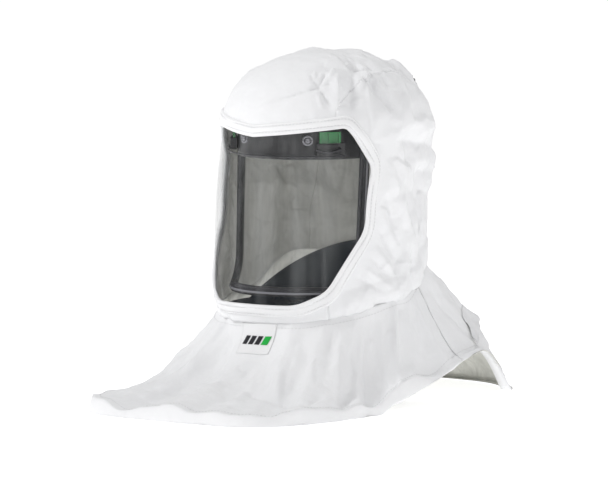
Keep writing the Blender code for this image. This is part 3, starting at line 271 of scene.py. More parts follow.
def makeCrumpleGroup():
    # paper-like creases, broad dents and the fine felted fibres of a non-woven, plus upright bands of painted
    # fold shade for the inside
    group, start, end = newGroup(
        "nonWovenSurface",
        [("Crease", 1.0), ("Dent", 1.0), ("Fibre", 1.0), ("Size", 1.0)],
        [("Height", "NodeSocketFloat"), ("Soil", "NodeSocketFloat"), ("PaintedFoldShade", "NodeSocketFloat"),
         ("Rough", "NodeSocketFloat")],
    )
    place = addNode(group, "ShaderNodeTexCoord").outputs["Object"]
    size = start.outputs["Size"]
    # painted fold shade: noise stretched upright gives vertical bands that tint the inside of the hood lighter
    # and darker
    links = {0: place, 1: (60.0, 60.0, 9.0)}
    drawn = addNode(group, "ShaderNodeVectorMath", links, operation="MULTIPLY").outputs[0]
    paintedStreak = noiseNode(group, drawn, 1.0, 6.0, 0.62, "FBM", 0.8)
    links = {"Value": paintedStreak, "From Min": 0.32, "From Max": 0.68}
    paintedStreak = addNode(group, "ShaderNodeMapRange", links).outputs["Result"]
    creaseSize = mathNode(group, "MULTIPLY", size, 26.0)
    crease = noiseNode(group, place, creaseSize, 5.0, 0.55, "RIDGED_MULTIFRACTAL", 0.6)
    dent = noiseNode(group, place, mathNode(group, "MULTIPLY", size, 60.0), 3.0, 0.5)
    fibre = noiseNode(group, place, 1400.0, 3.0, 0.7, "FBM", 1.5)
    links = {"Vector": place, "Scale": 620.0}
    cell = addNode(group, "ShaderNodeTexVoronoi", links, feature="F1").outputs["Distance"]
    felt = mathNode(group, "ADD", fibre, mathNode(group, "MULTIPLY", cell, 0.5))
    height = mathNode(group, "MULTIPLY", mathNode(group, "MULTIPLY", crease, 0.0011), start.outputs["Crease"])
    dents = mathNode(group, "MULTIPLY", mathNode(group, "MULTIPLY", dent, 0.0009), start.outputs["Dent"])
    height = mathNode(group, "ADD", height, dents)
    fibres = mathNode(group, "MULTIPLY", mathNode(group, "MULTIPLY", felt, 0.00007), start.outputs["Fibre"])
    height = mathNode(group, "ADD", height, fibres)
    soil = noiseNode(group, place, 9.0, 4.0, 0.6)
    rough = mathNode(group, "ADD", 0.42, mathNode(group, "MULTIPLY", felt, 0.22))
    group.links.new(height, end.inputs["Height"])
    group.links.new(soil, end.inputs["Soil"])
    group.links.new(paintedStreak, end.inputs["PaintedFoldShade"])
    group.links.new(rough, end.inputs["Rough"])
    return group


def makeGrainGroup():
    # spark-eroded mould grain with faint scuffs
    group, start, end = newGroup(
        "mouldGrain",
        [("Grain", 1.0), ("Scuff", 1.0), ("Rough", 0.45)],
        [("Height", "NodeSocketFloat"), ("Mask", "NodeSocketFloat"), ("Rough", "NodeSocketFloat")],
    )
    place = addNode(group, "ShaderNodeTexCoord").outputs["Object"]
    grain = noiseNode(group, place, 1900.0, 2.0, 0.6)
    scuff = noiseNode(group, place, 55.0, 6.0, 0.7, "FBM", 2.0)
    links = {"Value": scuff, "From Min": 0.55, "From Max": 0.78}
    mask = addNode(group, "ShaderNodeMapRange", links).outputs["Result"]
    mask = mathNode(group, "MULTIPLY", mask, start.outputs["Scuff"], True)
    height = mathNode(group, "MULTIPLY", mathNode(group, "MULTIPLY", grain, 0.00006), start.outputs["Grain"])
    rough = mathNode(group, "ADD", start.outputs["Rough"], mathNode(group, "MULTIPLY", mask, 0.18))
    group.links.new(height, end.inputs["Height"])
    group.links.new(mask, end.inputs["Mask"])
    group.links.new(rough, end.inputs["Rough"])
    return group


def makeKnitGroup():
    # ribs and loops of a fine knit
    group, start, end = newGroup(
        "knitWeave",
        [("Pitch", 1.0), ("Depth", 1.0)],
        [("Height", "NodeSocketFloat"), ("Shade", "NodeSocketFloat")],
    )
    place = addNode(group, "ShaderNodeTexCoord").outputs["Object"]
    scale = mathNode(group, "MULTIPLY", start.outputs["Pitch"], 420.0)
    links = {"Vector": place, "Scale": scale, "Distortion": 1.2, "Detail": 1.0}
    ribs = addNode(group, "ShaderNodeTexWave", links, bands_direction="X")
    links = {"Vector": place, "Scale": scale, "Distortion": 1.2, "Detail": 1.0}
    loops = addNode(group, "ShaderNodeTexWave", links, bands_direction="Z")
    woven = mathNode(group, "MULTIPLY", ribs.outputs["Fac"], loops.outputs["Fac"])
    fuzz = noiseNode(group, place, 900.0, 3.0, 0.7)
    fuzz = mathNode(group, "MULTIPLY", fuzz, 0.4)
    shade = mathNode(group, "ADD", mathNode(group, "MULTIPLY", woven, 0.6), fuzz)
    height = mathNode(group, "MULTIPLY", mathNode(group, "MULTIPLY", shade, 0.00025), start.outputs["Depth"])
    group.links.new(height, end.inputs["Height"])
    group.links.new(shade, end.inputs["Shade"])
    return group


crumpleGroup, grainGroup, knitGroup = makeCrumpleGroup(), makeGrainGroup(), makeKnitGroup()


def newMaterial(name):
    material = bpy.data.materials.new(name)
    material.use_nodes = True
    tree = material.node_tree
    return material, tree, tree.nodes["Principled BSDF"]


def useGroup(tree, group, values):
    node = tree.nodes.new("ShaderNodeGroup")
    node.node_tree = group
    for key, value in values.items():
        node.inputs[key].default_value = value
    return node


def tint(tree, mask, low, high):
    ramp = addNode(tree, "ShaderNodeMix", {"Factor": mask}, data_type="RGBA")
    ramp.inputs["A"].default_value = (*low, 1)
    ramp.inputs["B"].default_value = (*high, 1)
    return next(o for o in ramp.outputs if o.type == "RGBA")


def bumped(tree, height, strength=1.0, distance=1.0):
    bump = addNode(tree, "ShaderNodeBump", {"Height": height, "Strength": strength, "Distance": distance})
    return bump.outputs["Normal"]


def nonWoven(name, low, high, crease=1.0, dent=1.0, fibre=1.0, size=1.0, sheen=0.15, paintedGlow=0.0):
    material, tree, shader = newMaterial(name)
    cloth = useGroup(tree, crumpleGroup, {"Crease": crease, "Dent": dent, "Fibre": fibre, "Size": size})
    # the inside is tinted by the upright bands of painted fold shade, the outside by random soil
    shade = cloth.outputs["PaintedFoldShade" if paintedGlow else "Soil"]
    tree.links.new(tint(tree, shade, low, high), shader.inputs["Base Color"])
    tree.links.new(cloth.outputs["Rough"], shader.inputs["Roughness"])
    tree.links.new(bumped(tree, cloth.outputs["Height"]), shader.inputs["Normal"])
    shader.inputs["Sheen Weight"].default_value = sheen
    shader.inputs["Sheen Roughness"].default_value = 0.4
    shader.inputs["Specular IOR Level"].default_value = 0.35
    if paintedGlow:  # painted glow: a faint emission stands in for daylight coming through the thin cloth
        shader.inputs["Emission Color"].default_value = (1.0, 1.0, 0.95, 1)
        shader.inputs["Emission Strength"].default_value = paintedGlow
    return material


def moulded(name, colour, worn, rough=0.42, grain=1.0, scuff=0.6, metallic=0.0, coat=0.0):
    material, tree, shader = newMaterial(name)
    skin = useGroup(tree, grainGroup, {"Grain": grain, "Scuff": scuff, "Rough": rough})
    tree.links.new(tint(tree, skin.outputs["Mask"], colour, worn), shader.inputs["Base Color"])
    tree.links.new(skin.outputs["Rough"], shader.inputs["Roughness"])
    tree.links.new(bumped(tree, skin.outputs["Height"]), shader.inputs["Normal"])
    shader.inputs["Metallic"].default_value = metallic
    shader.inputs["Coat Weight"].default_value = coat
    return material


def knitted(name, low, high, pitch=1.0, depth=1.0):
    material, tree, shader = newMaterial(name)
    knit = useGroup(tree, knitGroup, {"Pitch": pitch, "Depth": depth})
    tree.links.new(tint(tree, knit.outputs["Shade"], low, high), shader.inputs["Base Color"])
    tree.links.new(bumped(tree, knit.outputs["Height"]), shader.inputs["Normal"])
    shader.inputs["Roughness"].default_value = 0.85
    shader.inputs["Sheen Weight"].default_value = 0.25
    return material


def makeFilmGroup():
    # a thin clear film: faint upright streaks of painted reflection, and a painted sheen toward the wearer's
    # right that stays in place whatever the view
    group, start, end = newGroup(
        "clearFilm",
        [("Least", 0.05), ("Most", 0.2), ("PaintedSheen", 0.0)],
        [("Alpha", "NodeSocketFloat"), ("Rough", "NodeSocketFloat")],
    )
    place = addNode(group, "ShaderNodeTexCoord").outputs["Object"]
    # painted reflections: upright noise bands raise the alpha, so the film's pale colour shows as light streaks
    links = {0: place, 1: (38.0, 38.0, 1.2)}
    drawn = addNode(group, "ShaderNodeVectorMath", links, operation="MULTIPLY").outputs[0]
    paintedStreak = noiseNode(group, drawn, 1.0, 3.0, 0.5, "FBM", 0.3)
    links = {"Value": paintedStreak, "From Min": 0.46, "From Max": 0.72}
    reflectionBand = addNode(group, "ShaderNodeMapRange", links).outputs["Result"]
    span = mathNode(group, "SUBTRACT", start.outputs["Most"], start.outputs["Least"])
    # painted sheen: the alpha also rises toward the wearer's right (-X)
    spots = addNode(group, "ShaderNodeSeparateXYZ", {0: place})
    paintedSheenSide = mathNode(group, "MULTIPLY", spots.outputs["X"], -1.0)
    links = {"Value": paintedSheenSide, "From Min": 0.062, "From Max": 0.112}
    paintedSheenSide = addNode(group, "ShaderNodeMapRange", links).outputs["Result"]
    sides = mathNode(group, "MULTIPLY", paintedSheenSide, start.outputs["PaintedSheen"])
    alpha = mathNode(group, "ADD", start.outputs["Least"], mathNode(group, "MULTIPLY", reflectionBand, span))
    sheen = mathNode(group, "MULTIPLY", sides, mathNode(group, "ADD", reflectionBand, 0.6))
    alpha = mathNode(group, "ADD", alpha, sheen, True)
    smear = noiseNode(group, place, 14.0, 5.0, 0.6, "FBM", 1.0)
    group.links.new(alpha, end.inputs["Alpha"])
    rough = mathNode(group, "ADD", 0.03, mathNode(group, "MULTIPLY", smear, 0.08))
    group.links.new(rough, end.inputs["Rough"])
    return group


filmGroup = makeFilmGroup()


def clearSheet(name, colour, least, most, sides=0.0):
    material, tree, shader = newMaterial(name)
    film = useGroup(tree, filmGroup, {"Least": least, "Most": most, "PaintedSheen": sides})
    tree.links.new(film.outputs["Alpha"], shader.inputs["Alpha"])
    tree.links.new(film.outputs["Rough"], shader.inputs["Roughness"])
    shader.inputs["Base Color"].default_value = (*colour, 1)
    shader.inputs["Specular IOR Level"].default_value = 0.6
    return material


def greenClear(name, colour, deep):
    material, tree, shader = newMaterial(name)
    skin = useGroup(tree, grainGroup, {"Grain": 0.5, "Scuff": 0.4, "Rough": 0.16})
    tree.links.new(tint(tree, skin.outputs["Mask"], colour, deep), shader.inputs["Base Color"])
    tree.links.new(skin.outputs["Rough"], shader.inputs["Roughness"])
    tree.links.new(bumped(tree, skin.outputs["Height"]), shader.inputs["Normal"])
    shader.inputs["Subsurface Weight"].default_value = 0.4
    shader.inputs["Subsurface Radius"].default_value = (0.001, 0.004, 0.0015)
    shader.inputs["Coat Weight"].default_value = 0.5
    return material


finishes = {
    "hoodOutside": nonWoven("hoodOutside", (0.82, 0.825, 0.84), (0.87, 0.87, 0.88), crease=1.7, dent=1.5),
    # painted shade: the inside of the white cloth is coloured grey, with a faint painted glow
    "hoodInsidePaintedShade": nonWoven(
        "hoodInsidePaintedShade", (0.50, 0.50, 0.465), (0.74, 0.74, 0.70), crease=2.2, dent=2.2, paintedGlow=0.04,
    ),
    "binding": nonWoven("binding", (0.85, 0.85, 0.86), (0.89, 0.89, 0.90), crease=0.25, dent=0.4),
    "thread": knitted("thread", (0.62, 0.62, 0.63), (0.80, 0.80, 0.80), 2.0, 0.5),
    "collarKnit": knitted("collarKnit", (0.004, 0.010, 0.022), (0.018, 0.034, 0.060)),
    # both lenses carry painted reflection streaks; the hood lens also a painted sheen on the wearer's right
    "hoodLens": clearSheet("hoodLens", (0.84, 0.86, 0.87), 0.008, 0.055, 0.30),
    "visorLens": clearSheet("visorLens", (0.70, 0.72, 0.72), 0.006, 0.045),
    "nylon": moulded("nylon", (0.013, 0.013, 0.015), (0.034, 0.034, 0.038)),
    "frameNylon": moulded("frameNylon", (0.017, 0.017, 0.021), (0.045, 0.045, 0.054), 0.36, 0.7),
    "ductNylon": moulded("ductNylon", (0.030, 0.031, 0.035), (0.07, 0.07, 0.075), 0.5),
    "rubber": moulded("rubber", (0.018, 0.018, 0.018), (0.035, 0.035, 0.034), 0.7, 1.6, 0.9),
    # on the visor gasket this mid grey is partly a painted highlight along the black rail
    "bead": moulded("bead", (0.22, 0.22, 0.24), (0.30, 0.30, 0.32), 0.35, 0.5),
    "green": greenClear("green", (0.004, 0.20, 0.040), (0.003, 0.11, 0.022)),
    "padCloth": knitted("padCloth", (0.035, 0.035, 0.04), (0.085, 0.085, 0.09), 0.7, 1.4),
    "steel": moulded("steel", (0.52, 0.52, 0.53), (0.40, 0.40, 0.41), 0.28, 0.6, 0.8, 1.0),
    "labelFilm": moulded("labelFilm", (0.84, 0.84, 0.85), (0.80, 0.80, 0.80), 0.35, 0.4, 0.3),
    "markDark": moulded("markDark", (0.018, 0.018, 0.022), (0.03, 0.03, 0.035), 0.4, 0.4),
    "markGreen": moulded("markGreen", (0.012, 0.42, 0.055), (0.02, 0.36, 0.06), 0.4, 0.4),
}
print("finishes made")

# ---- hood cloth: one shaped skin, then cut at its seams into four panels
hood = {
    "columns": 320, "wallRows": 96, "crownRows": 56,
    "panelHalf": 0.085,
    "broad": (0.055, 0.060, 3), "fine": (0.022, 0.075, 8), "small": (0.010, 0.055, 5),
    "blouse": 0.004, "footDrop": 0.003, "crownCalm": 0.8,
    # fold lines on the cloth: across in metres of girth from the front middle, and height up the cloth
    "folds": [
        # creases and the puckered star on the front of the crown
        (0.028, 0.377, 0.066, 0.388, 0.0022, -0.0030),
        (0.066, 0.388, 0.079, 0.394, 0.0030, -0.0034),
        (0.079, 0.394, 0.064, 0.412, 0.0030, -0.0030),
        (0.079, 0.394, 0.090, 0.418, 0.0028, -0.0030),
        (0.079, 0.394, 0.097, 0.366, 0.0030, -0.0034),
        (0.079, 0.394, 0.104, 0.401, 0.0026, -0.0026),
        (0.072, 0.402, 0.070, 0.420, 0.0030, 0.0026),
        (0.088, 0.400, 0.106, 0.420, 0.0034, 0.0028),
        (0.080, 0.384, 0.086, 0.362, 0.0036, 0.0028),
        (0.004, 0.362, 0.020, 0.374, 0.0030, 0.0014),
        # the deep valley where crown and side meet, and the ridges beside it
        (0.180, 0.436, 0.140, 0.412, 0.0150, -0.0060),
        (0.140, 0.412, 0.121, 0.352, 0.0125, -0.0105),
        (0.110, 0.410, 0.106, 0.358, 0.0070, 0.0040),
        (0.170, 0.420, 0.150, 0.362, 0.0060, 0.0038),
        (0.150, 0.420, 0.172, 0.372, 0.0030, -0.0022),
        (0.165, 0.395, 0.186, 0.352, 0.0030, -0.0022),
        (0.262, 0.418, 0.232, 0.392, 0.0055, 0.0020),
        (0.232, 0.392, 0.208, 0.343, 0.0060, 0.0050),
        (0.290, 0.420, 0.310, 0.345, 0.0250, -0.0060),
        (0.240, 0.276, 0.345, 0.272, 0.0160, -0.0070),
        (0.305, 0.310, 0.300, 0.190, 0.0450, -0.0030),
        (0.198, 0.408, 0.180, 0.352, 0.0140, -0.0055),
        # the shelf behind the temple, and the slack rolls under it
        (0.184, 0.341, 0.280, 0.331, 0.0090, 0.0050),
        (0.262, 0.336, 0.335, 0.322, 0.0110, 0.0036),
        (0.190, 0.318, 0.262, 0.309, 0.0090, -0.0050),
        (0.250, 0.312, 0.330, 0.300, 0.0110, -0.0040),
        (0.222, 0.292, 0.300, 0.284, 0.0120, 0.0022),
        (0.225, 0.254, 0.345, 0.244, 0.0170, -0.0060),
        (0.235, 0.216, 0.345, 0.207, 0.0130, 0.0024),
        # the long fold down the side, and the drag lines off the lens
        (0.182, 0.292, 0.208, 0.252, 0.0085, 0.0045),
        (0.208, 0.252, 0.234, 0.205, 0.0085, 0.0070),
        (0.234, 0.205, 0.224, 0.165, 0.0085, 0.0070),
        (0.224, 0.165, 0.196, 0.126, 0.0085, 0.0055),
        (0.262, 0.280, 0.266, 0.200, 0.0100, -0.0060),
        (0.266, 0.200, 0.250, 0.150, 0.0100, -0.0050),
        (0.184, 0.255, 0.206, 0.212, 0.0040, -0.0024),
        (0.182, 0.232, 0.208, 0.190, 0.0036, 0.0022),
        (0.178, 0.214, 0.206, 0.172, 0.0040, -0.0028),
        (0.168, 0.196, 0.200, 0.158, 0.0036, 0.0024),
        (0.160, 0.184, 0.196, 0.150, 0.0034, -0.0026),
        (0.150, 0.172, 0.190, 0.142, 0.0034, 0.0024),
        (0.140, 0.160, 0.178, 0.136, 0.0032, -0.0024),
        # the wearer's right, given in the same way but not the same folds
        (-0.190, 0.455, -0.134, 0.405, 0.0100, -0.0070),
        (-0.134, 0.405, -0.124, 0.356, 0.0080, -0.0070),
        (-0.158, 0.418, -0.146, 0.360, 0.0060, 0.0036),
        (-0.240, 0.410, -0.214, 0.345, 0.0060, 0.0060),
        (-0.190, 0.340, -0.340, 0.334, 0.0080, 0.0055),
        (-0.200, 0.314, -0.330, 0.308, 0.0080, -0.0050),
        (-0.180, 0.290, -0.222, 0.220, 0.0090, 0.0060),
        (-0.222, 0.220, -0.214, 0.140, 0.0090, 0.0060),
        (-0.262, 0.285, -0.254, 0.160, 0.0110, -0.0060),
        (-0.178, 0.236, -0.204, 0.190, 0.0040, -0.0026),
        (-0.172, 0.206, -0.200, 0.164, 0.0038, 0.0024),
        (-0.156, 0.182, -0.192, 0.148, 0.0036, -0.0026),
        (-0.220, 0.250, -0.330, 0.244, 0.0130, -0.0050),
        # the back
        (0.355, 0.330, 0.362, 0.200, 0.0110, -0.0060),
        (-0.330, 0.345, -0.338, 0.210, 0.0110, 0.0050),
        (0.318, 0.300, 0.312, 0.185, 0.0090, 0.0048),
        (-0.365, 0.320, -0.360, 0.215, 0.0080, -0.0048),
        (0.300, 0.395, 0.340, 0.362, 0.0100, -0.0045),
        (-0.290, 0.400, -0.345, 0.366, 0.0100, -0.0040),
    ],
}


def lensOutline(count=480, grow=0.0):
    # half outline as corners of (girth, height, radius), from the bottom middle up
    half = [
        (0.0, 0.125, 0), (0.062, 0.124, 0.060), (0.102, 0.140, 0.050), (0.158, 0.213, 0.040),
        (0.157, 0.289, 0.022), (0.115, 0.337, 0.012), (0.0, 0.325, 0),
    ]
    whole = half + [(-x, y, r) for x, y, r in reversed(half) if x > 0]
    made = []
    for i, (x, y, radius) in enumerate(whole):
        here = np.array([x, y])
        if radius <= 0:
            made.append(here)
            continue
        back = np.array(whole[i - 1][:2]) - here
        ahead = np.array(whole[(i + 1) % len(whole)][:2]) - here
        back, ahead = back / np.linalg.norm(back), ahead / np.linalg.norm(ahead)
        halfAngle = math.acos(np.clip(back @ ahead, -1, 1)) / 2
        centre = here + (back + ahead) / np.linalg.norm(back + ahead) * radius / math.sin(halfAngle)
        start = here + back * radius / math.tan(halfAngle) - centre
        end = here + ahead * radius / math.tan(halfAngle) - centre
        a0 = math.atan2(start[1], start[0])
        sweep = (math.atan2(end[1], end[0]) - a0 + math.pi) % (2 * math.pi) - math.pi
        for k in range(13):
            t = a0 + sweep * k / 12
            made.append(centre + radius * np.array([math.cos(t), math.sin(t)]))
    outline = resampled(made, count)
    return grown(outline, grow) if grow else outline


def grown(outline, distance):
    along = np.roll(outline, -1, 0) - np.roll(outline, 1, 0)
    normal = np.stack([along[:, 1], -along[:, 0]], 1)
    return outline + normal / np.linalg.norm(normal, axis=1)[:, None] * distance


def insideOutline(x, y, outline):
    inside = np.zeros(x.shape, bool)
    for (x0, y0), (x1, y1) in zip(outline, np.roll(outline, -1, 0)):
        if y0 == y1:
            continue
        crosses = ((y0 > y) != (y1 > y)) & (x < (x1 - x0) * (y - y0) / (y1 - y0) + x0)
        inside ^= crosses
    return inside


def outlineGap(x, y, outline):
    gap = np.full(x.shape, 9.0)
    for x0, y0 in outline[::3]:
        gap = np.minimum(gap, np.hypot(x - x0, y - y0))
    return gap


def bowPoints(girth, z, offset, sections):
    # points round a bow, by girth from its middle; sections gives (half width, depth, power) at a height
    made = np.empty((len(girth), 3))
    angles = np.linspace(0, math.pi / 2, 241)
    for i, (s, height) in enumerate(zip(girth, z)):
        halfWidth, depth, power = sections(height)
        x, y = planPoint(halfWidth, depth, power, angles)
        lengths = np.concatenate([[0], np.cumsum(np.hypot(np.diff(x), np.diff(y)))])
        at = np.interp(abs(s), lengths, angles)
        beside = np.array([max(0.0, at - 0.002), min(math.pi / 2, at + 0.002)])
        x0, y0 = planPoint(halfWidth, depth, power, beside)
        along = np.array([x0[1] - x0[0], y0[1] - y0[0]])
        along /= np.linalg.norm(along)
        px, py = planPoint(halfWidth, depth, power, np.array([at]))
        side = -1 if s < 0 else 1
        off = offset[i] if np.ndim(offset) else offset
        made[i] = (side * (px[0] + along[1] * off), py[0] - along[0] * off + headY, height)
    return made


def lensSection(z):
    front, _ = hoodReach(z)
    share = 1.0
    if z > hoodShape["crownStart"]:
        rise = (z - hoodShape["crownStart"]) / (hoodShape["top"] - hoodShape["crownStart"])
        share = max(0.01, 1 - rise ** hoodShape["crownPower"]) ** (1 / hoodShape["crownPower"])
    return hoodShape["halfWidth"] * share, float(front) * share, hoodShape["frontPower"]


def onLens(outline, offset):
    return bowPoints(outline[:, 0], outline[:, 1], offset, lensSection)


def makeHood():
    h = hoodShape
    angles = np.linspace(-math.pi, math.pi, hood["columns"] + 1)[:-1]
    seam = seamHeight(angles) - hood["footDrop"]
    rows = []
    for t in np.linspace(0, 1, hood["wallRows"]):
        z = mixed(seam, h["crownStart"], t)
        rows.append(wallPoints(angles, z))
    for tau in np.linspace(0, math.pi / 2, hood["crownRows"] + 1)[1:]:
        share = math.cos(tau) ** (2 / h["crownPower"])
        z = h["crownStart"] + (h["top"] - h["crownStart"]) * math.sin(tau) ** (2 / h["crownPower"])
        rows.append(wallPoints(angles, np.full_like(angles, z), max(share, 0.004)))
    grid = np.array(rows)
    middle = hood["columns"] // 2

    # girth from the front middle, and height up the cloth
    steps = np.linalg.norm(np.diff(grid[..., :2], axis=1), axis=2)
    along = np.concatenate([np.zeros((len(grid), 1)), np.cumsum(steps, 1)], 1)
    girth = along - along[:, middle:middle + 1]
    wall = along[hood["wallRows"] - 1] - along[hood["wallRows"] - 1, middle]
    climb = np.linalg.norm(np.diff(grid, axis=0), axis=2)
    up = seam[None] + np.concatenate([np.zeros((1, grid.shape[1])), np.cumsum(climb, 0)])
    steady = np.broadcast_to(wall, girth.shape).copy()
    steady[:hood["wallRows"]] = girth[:hood["wallRows"]]

    normals = gridNormals(grid, True)
    crown = np.zeros(len(grid))
    crown[hood["wallRows"]:] = np.linspace(0, 1, hood["crownRows"])
    stretched = grid * np.array([1, 1, 0.55])
    heights = np.zeros(grid.shape[:2])
    for name, source in (("broad", stretched), ("fine", stretched), ("small", grid)):
        size, tilt, seed = hood[name]
        heights += facetHeights(source, size, tilt, seed).reshape(heights.shape)
    # the front of the crown is pulled smooth by the lens
    smooth = smoothStep((up - 0.330) / 0.03)
    smooth = smooth * smoothStep((0.10 - steady) / 0.05) * smoothStep((steady + 0.26) / 0.06)
    heights *= 1 - hood["crownCalm"] * smooth
    heights += foldHeights(steady, up, hood["folds"])

    # the cloth blouses over the neck seam
    rise = np.clip((grid[..., 2] - seam[None]) / 0.030, 0, 1)
    heights += hood["blouse"] * np.sin(math.pi * rise) ** 0.7 * (rise < 1)

    # calm near the lens and at the pole of the crown
    outline = lensOutline(240)
    lensGap = outlineGap(girth, grid[..., 2], outline)
    lensGap[np.abs(girth) > 0.22] = 1.0
    lensGap[grid[..., 2] > 0.37] = 1.0
    heights *= smoothStep((lensGap - 0.010) / 0.022)
    heights *= (1 - smoothStep((crown - 0.80) / 0.2))[:, None] * 0.9 + 0.1
    heights = np.clip(heights, -0.0095, 0.0055)
    # faces the sewn seam of the inlet's cuff
    inletGap = np.hypot(grid[..., 0], grid[..., 2] - 0.362) + 10 * (grid[..., 1] < headY)
    heights *= smoothStep((inletGap - 0.014) / 0.02)
    shaped = grid + normals * heights[..., None]

    hole = insideOutline(girth, grid[..., 2], lensOutline(240, 0.004)) & (np.abs(girth) < 0.25)
    hole |= inletGap < 0.0155
    gone = hole & np.roll(hole, -1, 1)
    gone = gone[:-1] & gone[1:]
    flat = np.abs(grid[..., 0])
    sideFace = (flat + np.roll(flat, -1, 1))[:-1] / 2 > hood["panelHalf"]
    low = grid[:-1, :, 2] < 0.1665
    ahead = grid[:-1, :, 1] < headY
    left = grid[:-1, :, 0] > 0
    regions = {
        "crownPanel": ~sideFace & ~(low & ahead),
        "chinPanel": ~sideFace & low & ahead,
        "leftSidePanel": sideFace & left,
        "rightSidePanel": sideFace & ~left,
    }
    made = {}
    for name, region in regions.items():
        piece = gridPiece(name, shaped, finishes["hoodOutside"], True, region & ~gone)
        # the inner face is grey painted shade
        piece.data.materials.append(finishes["hoodInsidePaintedShade"])
        thicken(piece, 0.0004, -1.0, 1)
        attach(piece, "hood")
        made[name] = piece
    return made


panels = makeHood()
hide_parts("crown_panel")
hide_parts("chin_panel")
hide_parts("left_side_panel")
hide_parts("right_side_panel")
print("hood cloth shaped")

# ---- lens and its sewn welt
welt = {
    "inner": -0.0012, "width": 0.0150, "rise": 0.0030, "base": 0.0002, "pitch": 0.0042,
    "rows": (0.0035, 0.0105),
}


def makeWelt():
    outline = lensOutline(420)
    shape = []
    for share in np.linspace(0, 1, 25):
        edge = welt["inner"] + welt["width"] * share
        dome = (1 - abs(2 * share - 1) ** 5) * welt["rise"]
        groove = sum(math.exp(-((edge - row) / 0.0008) ** 2) for row in welt["rows"]) * 0.0008
        bead = 0.0014 * math.exp(-((share - 0.05) / 0.07) ** 2)
        shape.append((edge, welt["base"] + dome - groove + bead))
    shape += [(welt["inner"] + welt["width"], -0.0006), (welt["inner"], -0.0006)]
    loops = []
    for edge, height in shape:
        ring = grown(outline, edge)
        count = np.arange(len(ring))
        wander = 0.0005 * np.sin(count * 0.21 + edge * 300) + 0.0004 * np.sin(count * 0.057)
        loops.append(onLens(ring, height + wander * (height > 0)))
    piece = loopPiece("lensBinding", np.array(loops), finishes["binding"])
    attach(piece, "hood")
    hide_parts("lens_binding")
    return outline


def stitchRow(name, path, length, thick):
    # a row of short stitches laid along a path
    path = resampled(path, max(8, int(np.linalg.norm(np.diff(path, axis=0), axis=1).sum() / length)), False)
    points, faces = [], []
    turns = np.linspace(0, 2 * math.pi, 6, endpoint=False)
    for i in range(len(path) - 1):
        a, b = path[i], path[i + 1]
        run = (b - a) * 0.36
        middle = (a + b) / 2
        direction = run / np.linalg.norm(run)
        side = np.cross(direction, [0.13, 0.21, 0.97])
        side /= np.linalg.norm(side)
        lift = np.cross(side, direction)
        for at, size in ((-1.0, 0.3), (-0.75, 0.9), (0.0, 1.1), (0.75, 0.9), (1.0, 0.3)):
            for t in turns:
                points.append(middle + run * at + thick * size * (math.cos(t) * side + math.sin(t) * lift))
        base = len(points) - 30
        for ring in range(4):
            for k in range(6):
                j = (k + 1) % 6
                low = base + ring * 6
                faces.append((low + k, low + j, low + 6 + j, low + 6 + k))
    return makePiece(name, points, faces, finishes["thread"])


def makeWeltStitches(outline):
    for number, row in enumerate(welt["rows"]):
        share = (row - welt["inner"]) / welt["width"]
        height = welt["base"] + (1 - abs(2 * share - 1) ** 5) * welt["rise"] - 0.0004
        ring = onLens(grown(outline, row), height)
        piece = stitchRow(f"lensStitches{number + 1}", np.vstack([ring, ring[:1]]), welt["pitch"], 0.00028)
        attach(piece, "hood")


def sheetPiece(name, outline, place, front, back, material, rings=26):
    middle = np.array([0.0, (outline[:, 1].max() + outline[:, 1].min()) / 2])
    shares = np.linspace(1, 0.004, rings)
    outside = [place(middle + (outline - middle) * s, front) for s in shares[::-1]]
    inside = [place(middle + (outline - middle) * s, back) for s in shares]
    grid = np.array(outside + inside)
    piece = gridPiece(name, grid, material, True)
    return piece


def makeHoodLens():
    outline = lensOutline(120, 0.007)
    piece = sheetPiece("hoodLens", outline, onLens, -0.0012, -0.0020, finishes["hoodLens"])
    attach(piece, "hood")
    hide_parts("hood_lens")


makeWeltStitches(makeWelt())
makeHoodLens()
print("lens and welt made")

# ---- cape
cape = {
    "columns": 360, "front": 0.315, "rear": 0.253, "halfWidth": 0.168, "frontPower": 4.5, "rearPower": 2.9,
    "hemHeight": 0.021, "rearHemHeight": 0.007, "hemLean": 0.005,
    "frontSag": 2.35, "rearSag": 0.835, "bibDrop": 0.75,
    "liftAt": [-0.104, -0.088, -0.049, 0.009, 0.050, 0.095], "lift": [0.0, 0.010, 0.018, 0.034, 0.050, 0.059],
    "liftPeak": 0.095, "liftEnd": 0.200,
    "seamY": 0.050, "turn": 0.013,
    "broad": (0.070, 0.060, 11), "fine": (0.028, 0.070, 12), "small": (0.011, 0.050, 13),
    # across is metres along the hem from the front middle, and along is metres down from the neck
    "folds": [
        (0.372, 0.000, 0.368, 0.090, 0.0100, 0.0060),
        (0.368, 0.090, 0.362, 0.180, 0.0110, 0.0060),
        (0.290, 0.020, 0.305, 0.190, 0.0150, -0.0070),
        (0.100, 0.050, 0.160, 0.200, 0.0110, 0.0040),
        (0.220, 0.030, 0.240, 0.160, 0.0090, 0.0034),
        (0.040, 0.090, -0.100, 0.140, 0.0070, -0.0034),
        (0.060, 0.110, 0.210, 0.170, 0.0080, -0.0040),
        (-0.120, 0.050, -0.200, 0.200, 0.0130, -0.0045),
        (-0.180, 0.040, -0.260, 0.180, 0.0100, 0.0050),
        (-0.330, 0.020, -0.360, 0.170, 0.0140, -0.0060),
        (0.450, 0.010, 0.470, 0.130, 0.0120, 0.0050),
        (0.520, 0.020, 0.560, 0.140, 0.0120, -0.0050),
        (-0.480, 0.020, -0.520, 0.140, 0.0120, -0.0050),
        (-0.600, 0.020, -0.640, 0.150, 0.0140, 0.0055),
        (0.640, 0.020, 0.660, 0.150, 0.0140, 0.0055),
    ],
}


def hemLift(y):
    rising = sum(np.interp(y + shift, cape["liftAt"], cape["lift"]) for shift in (-0.006, 0.0, 0.006)) / 3
    falling = smoothStep((cape["liftEnd"] - y) / (cape["liftEnd"] - cape["liftPeak"]))
    return np.minimum(rising, cape["lift"][-1] * falling)


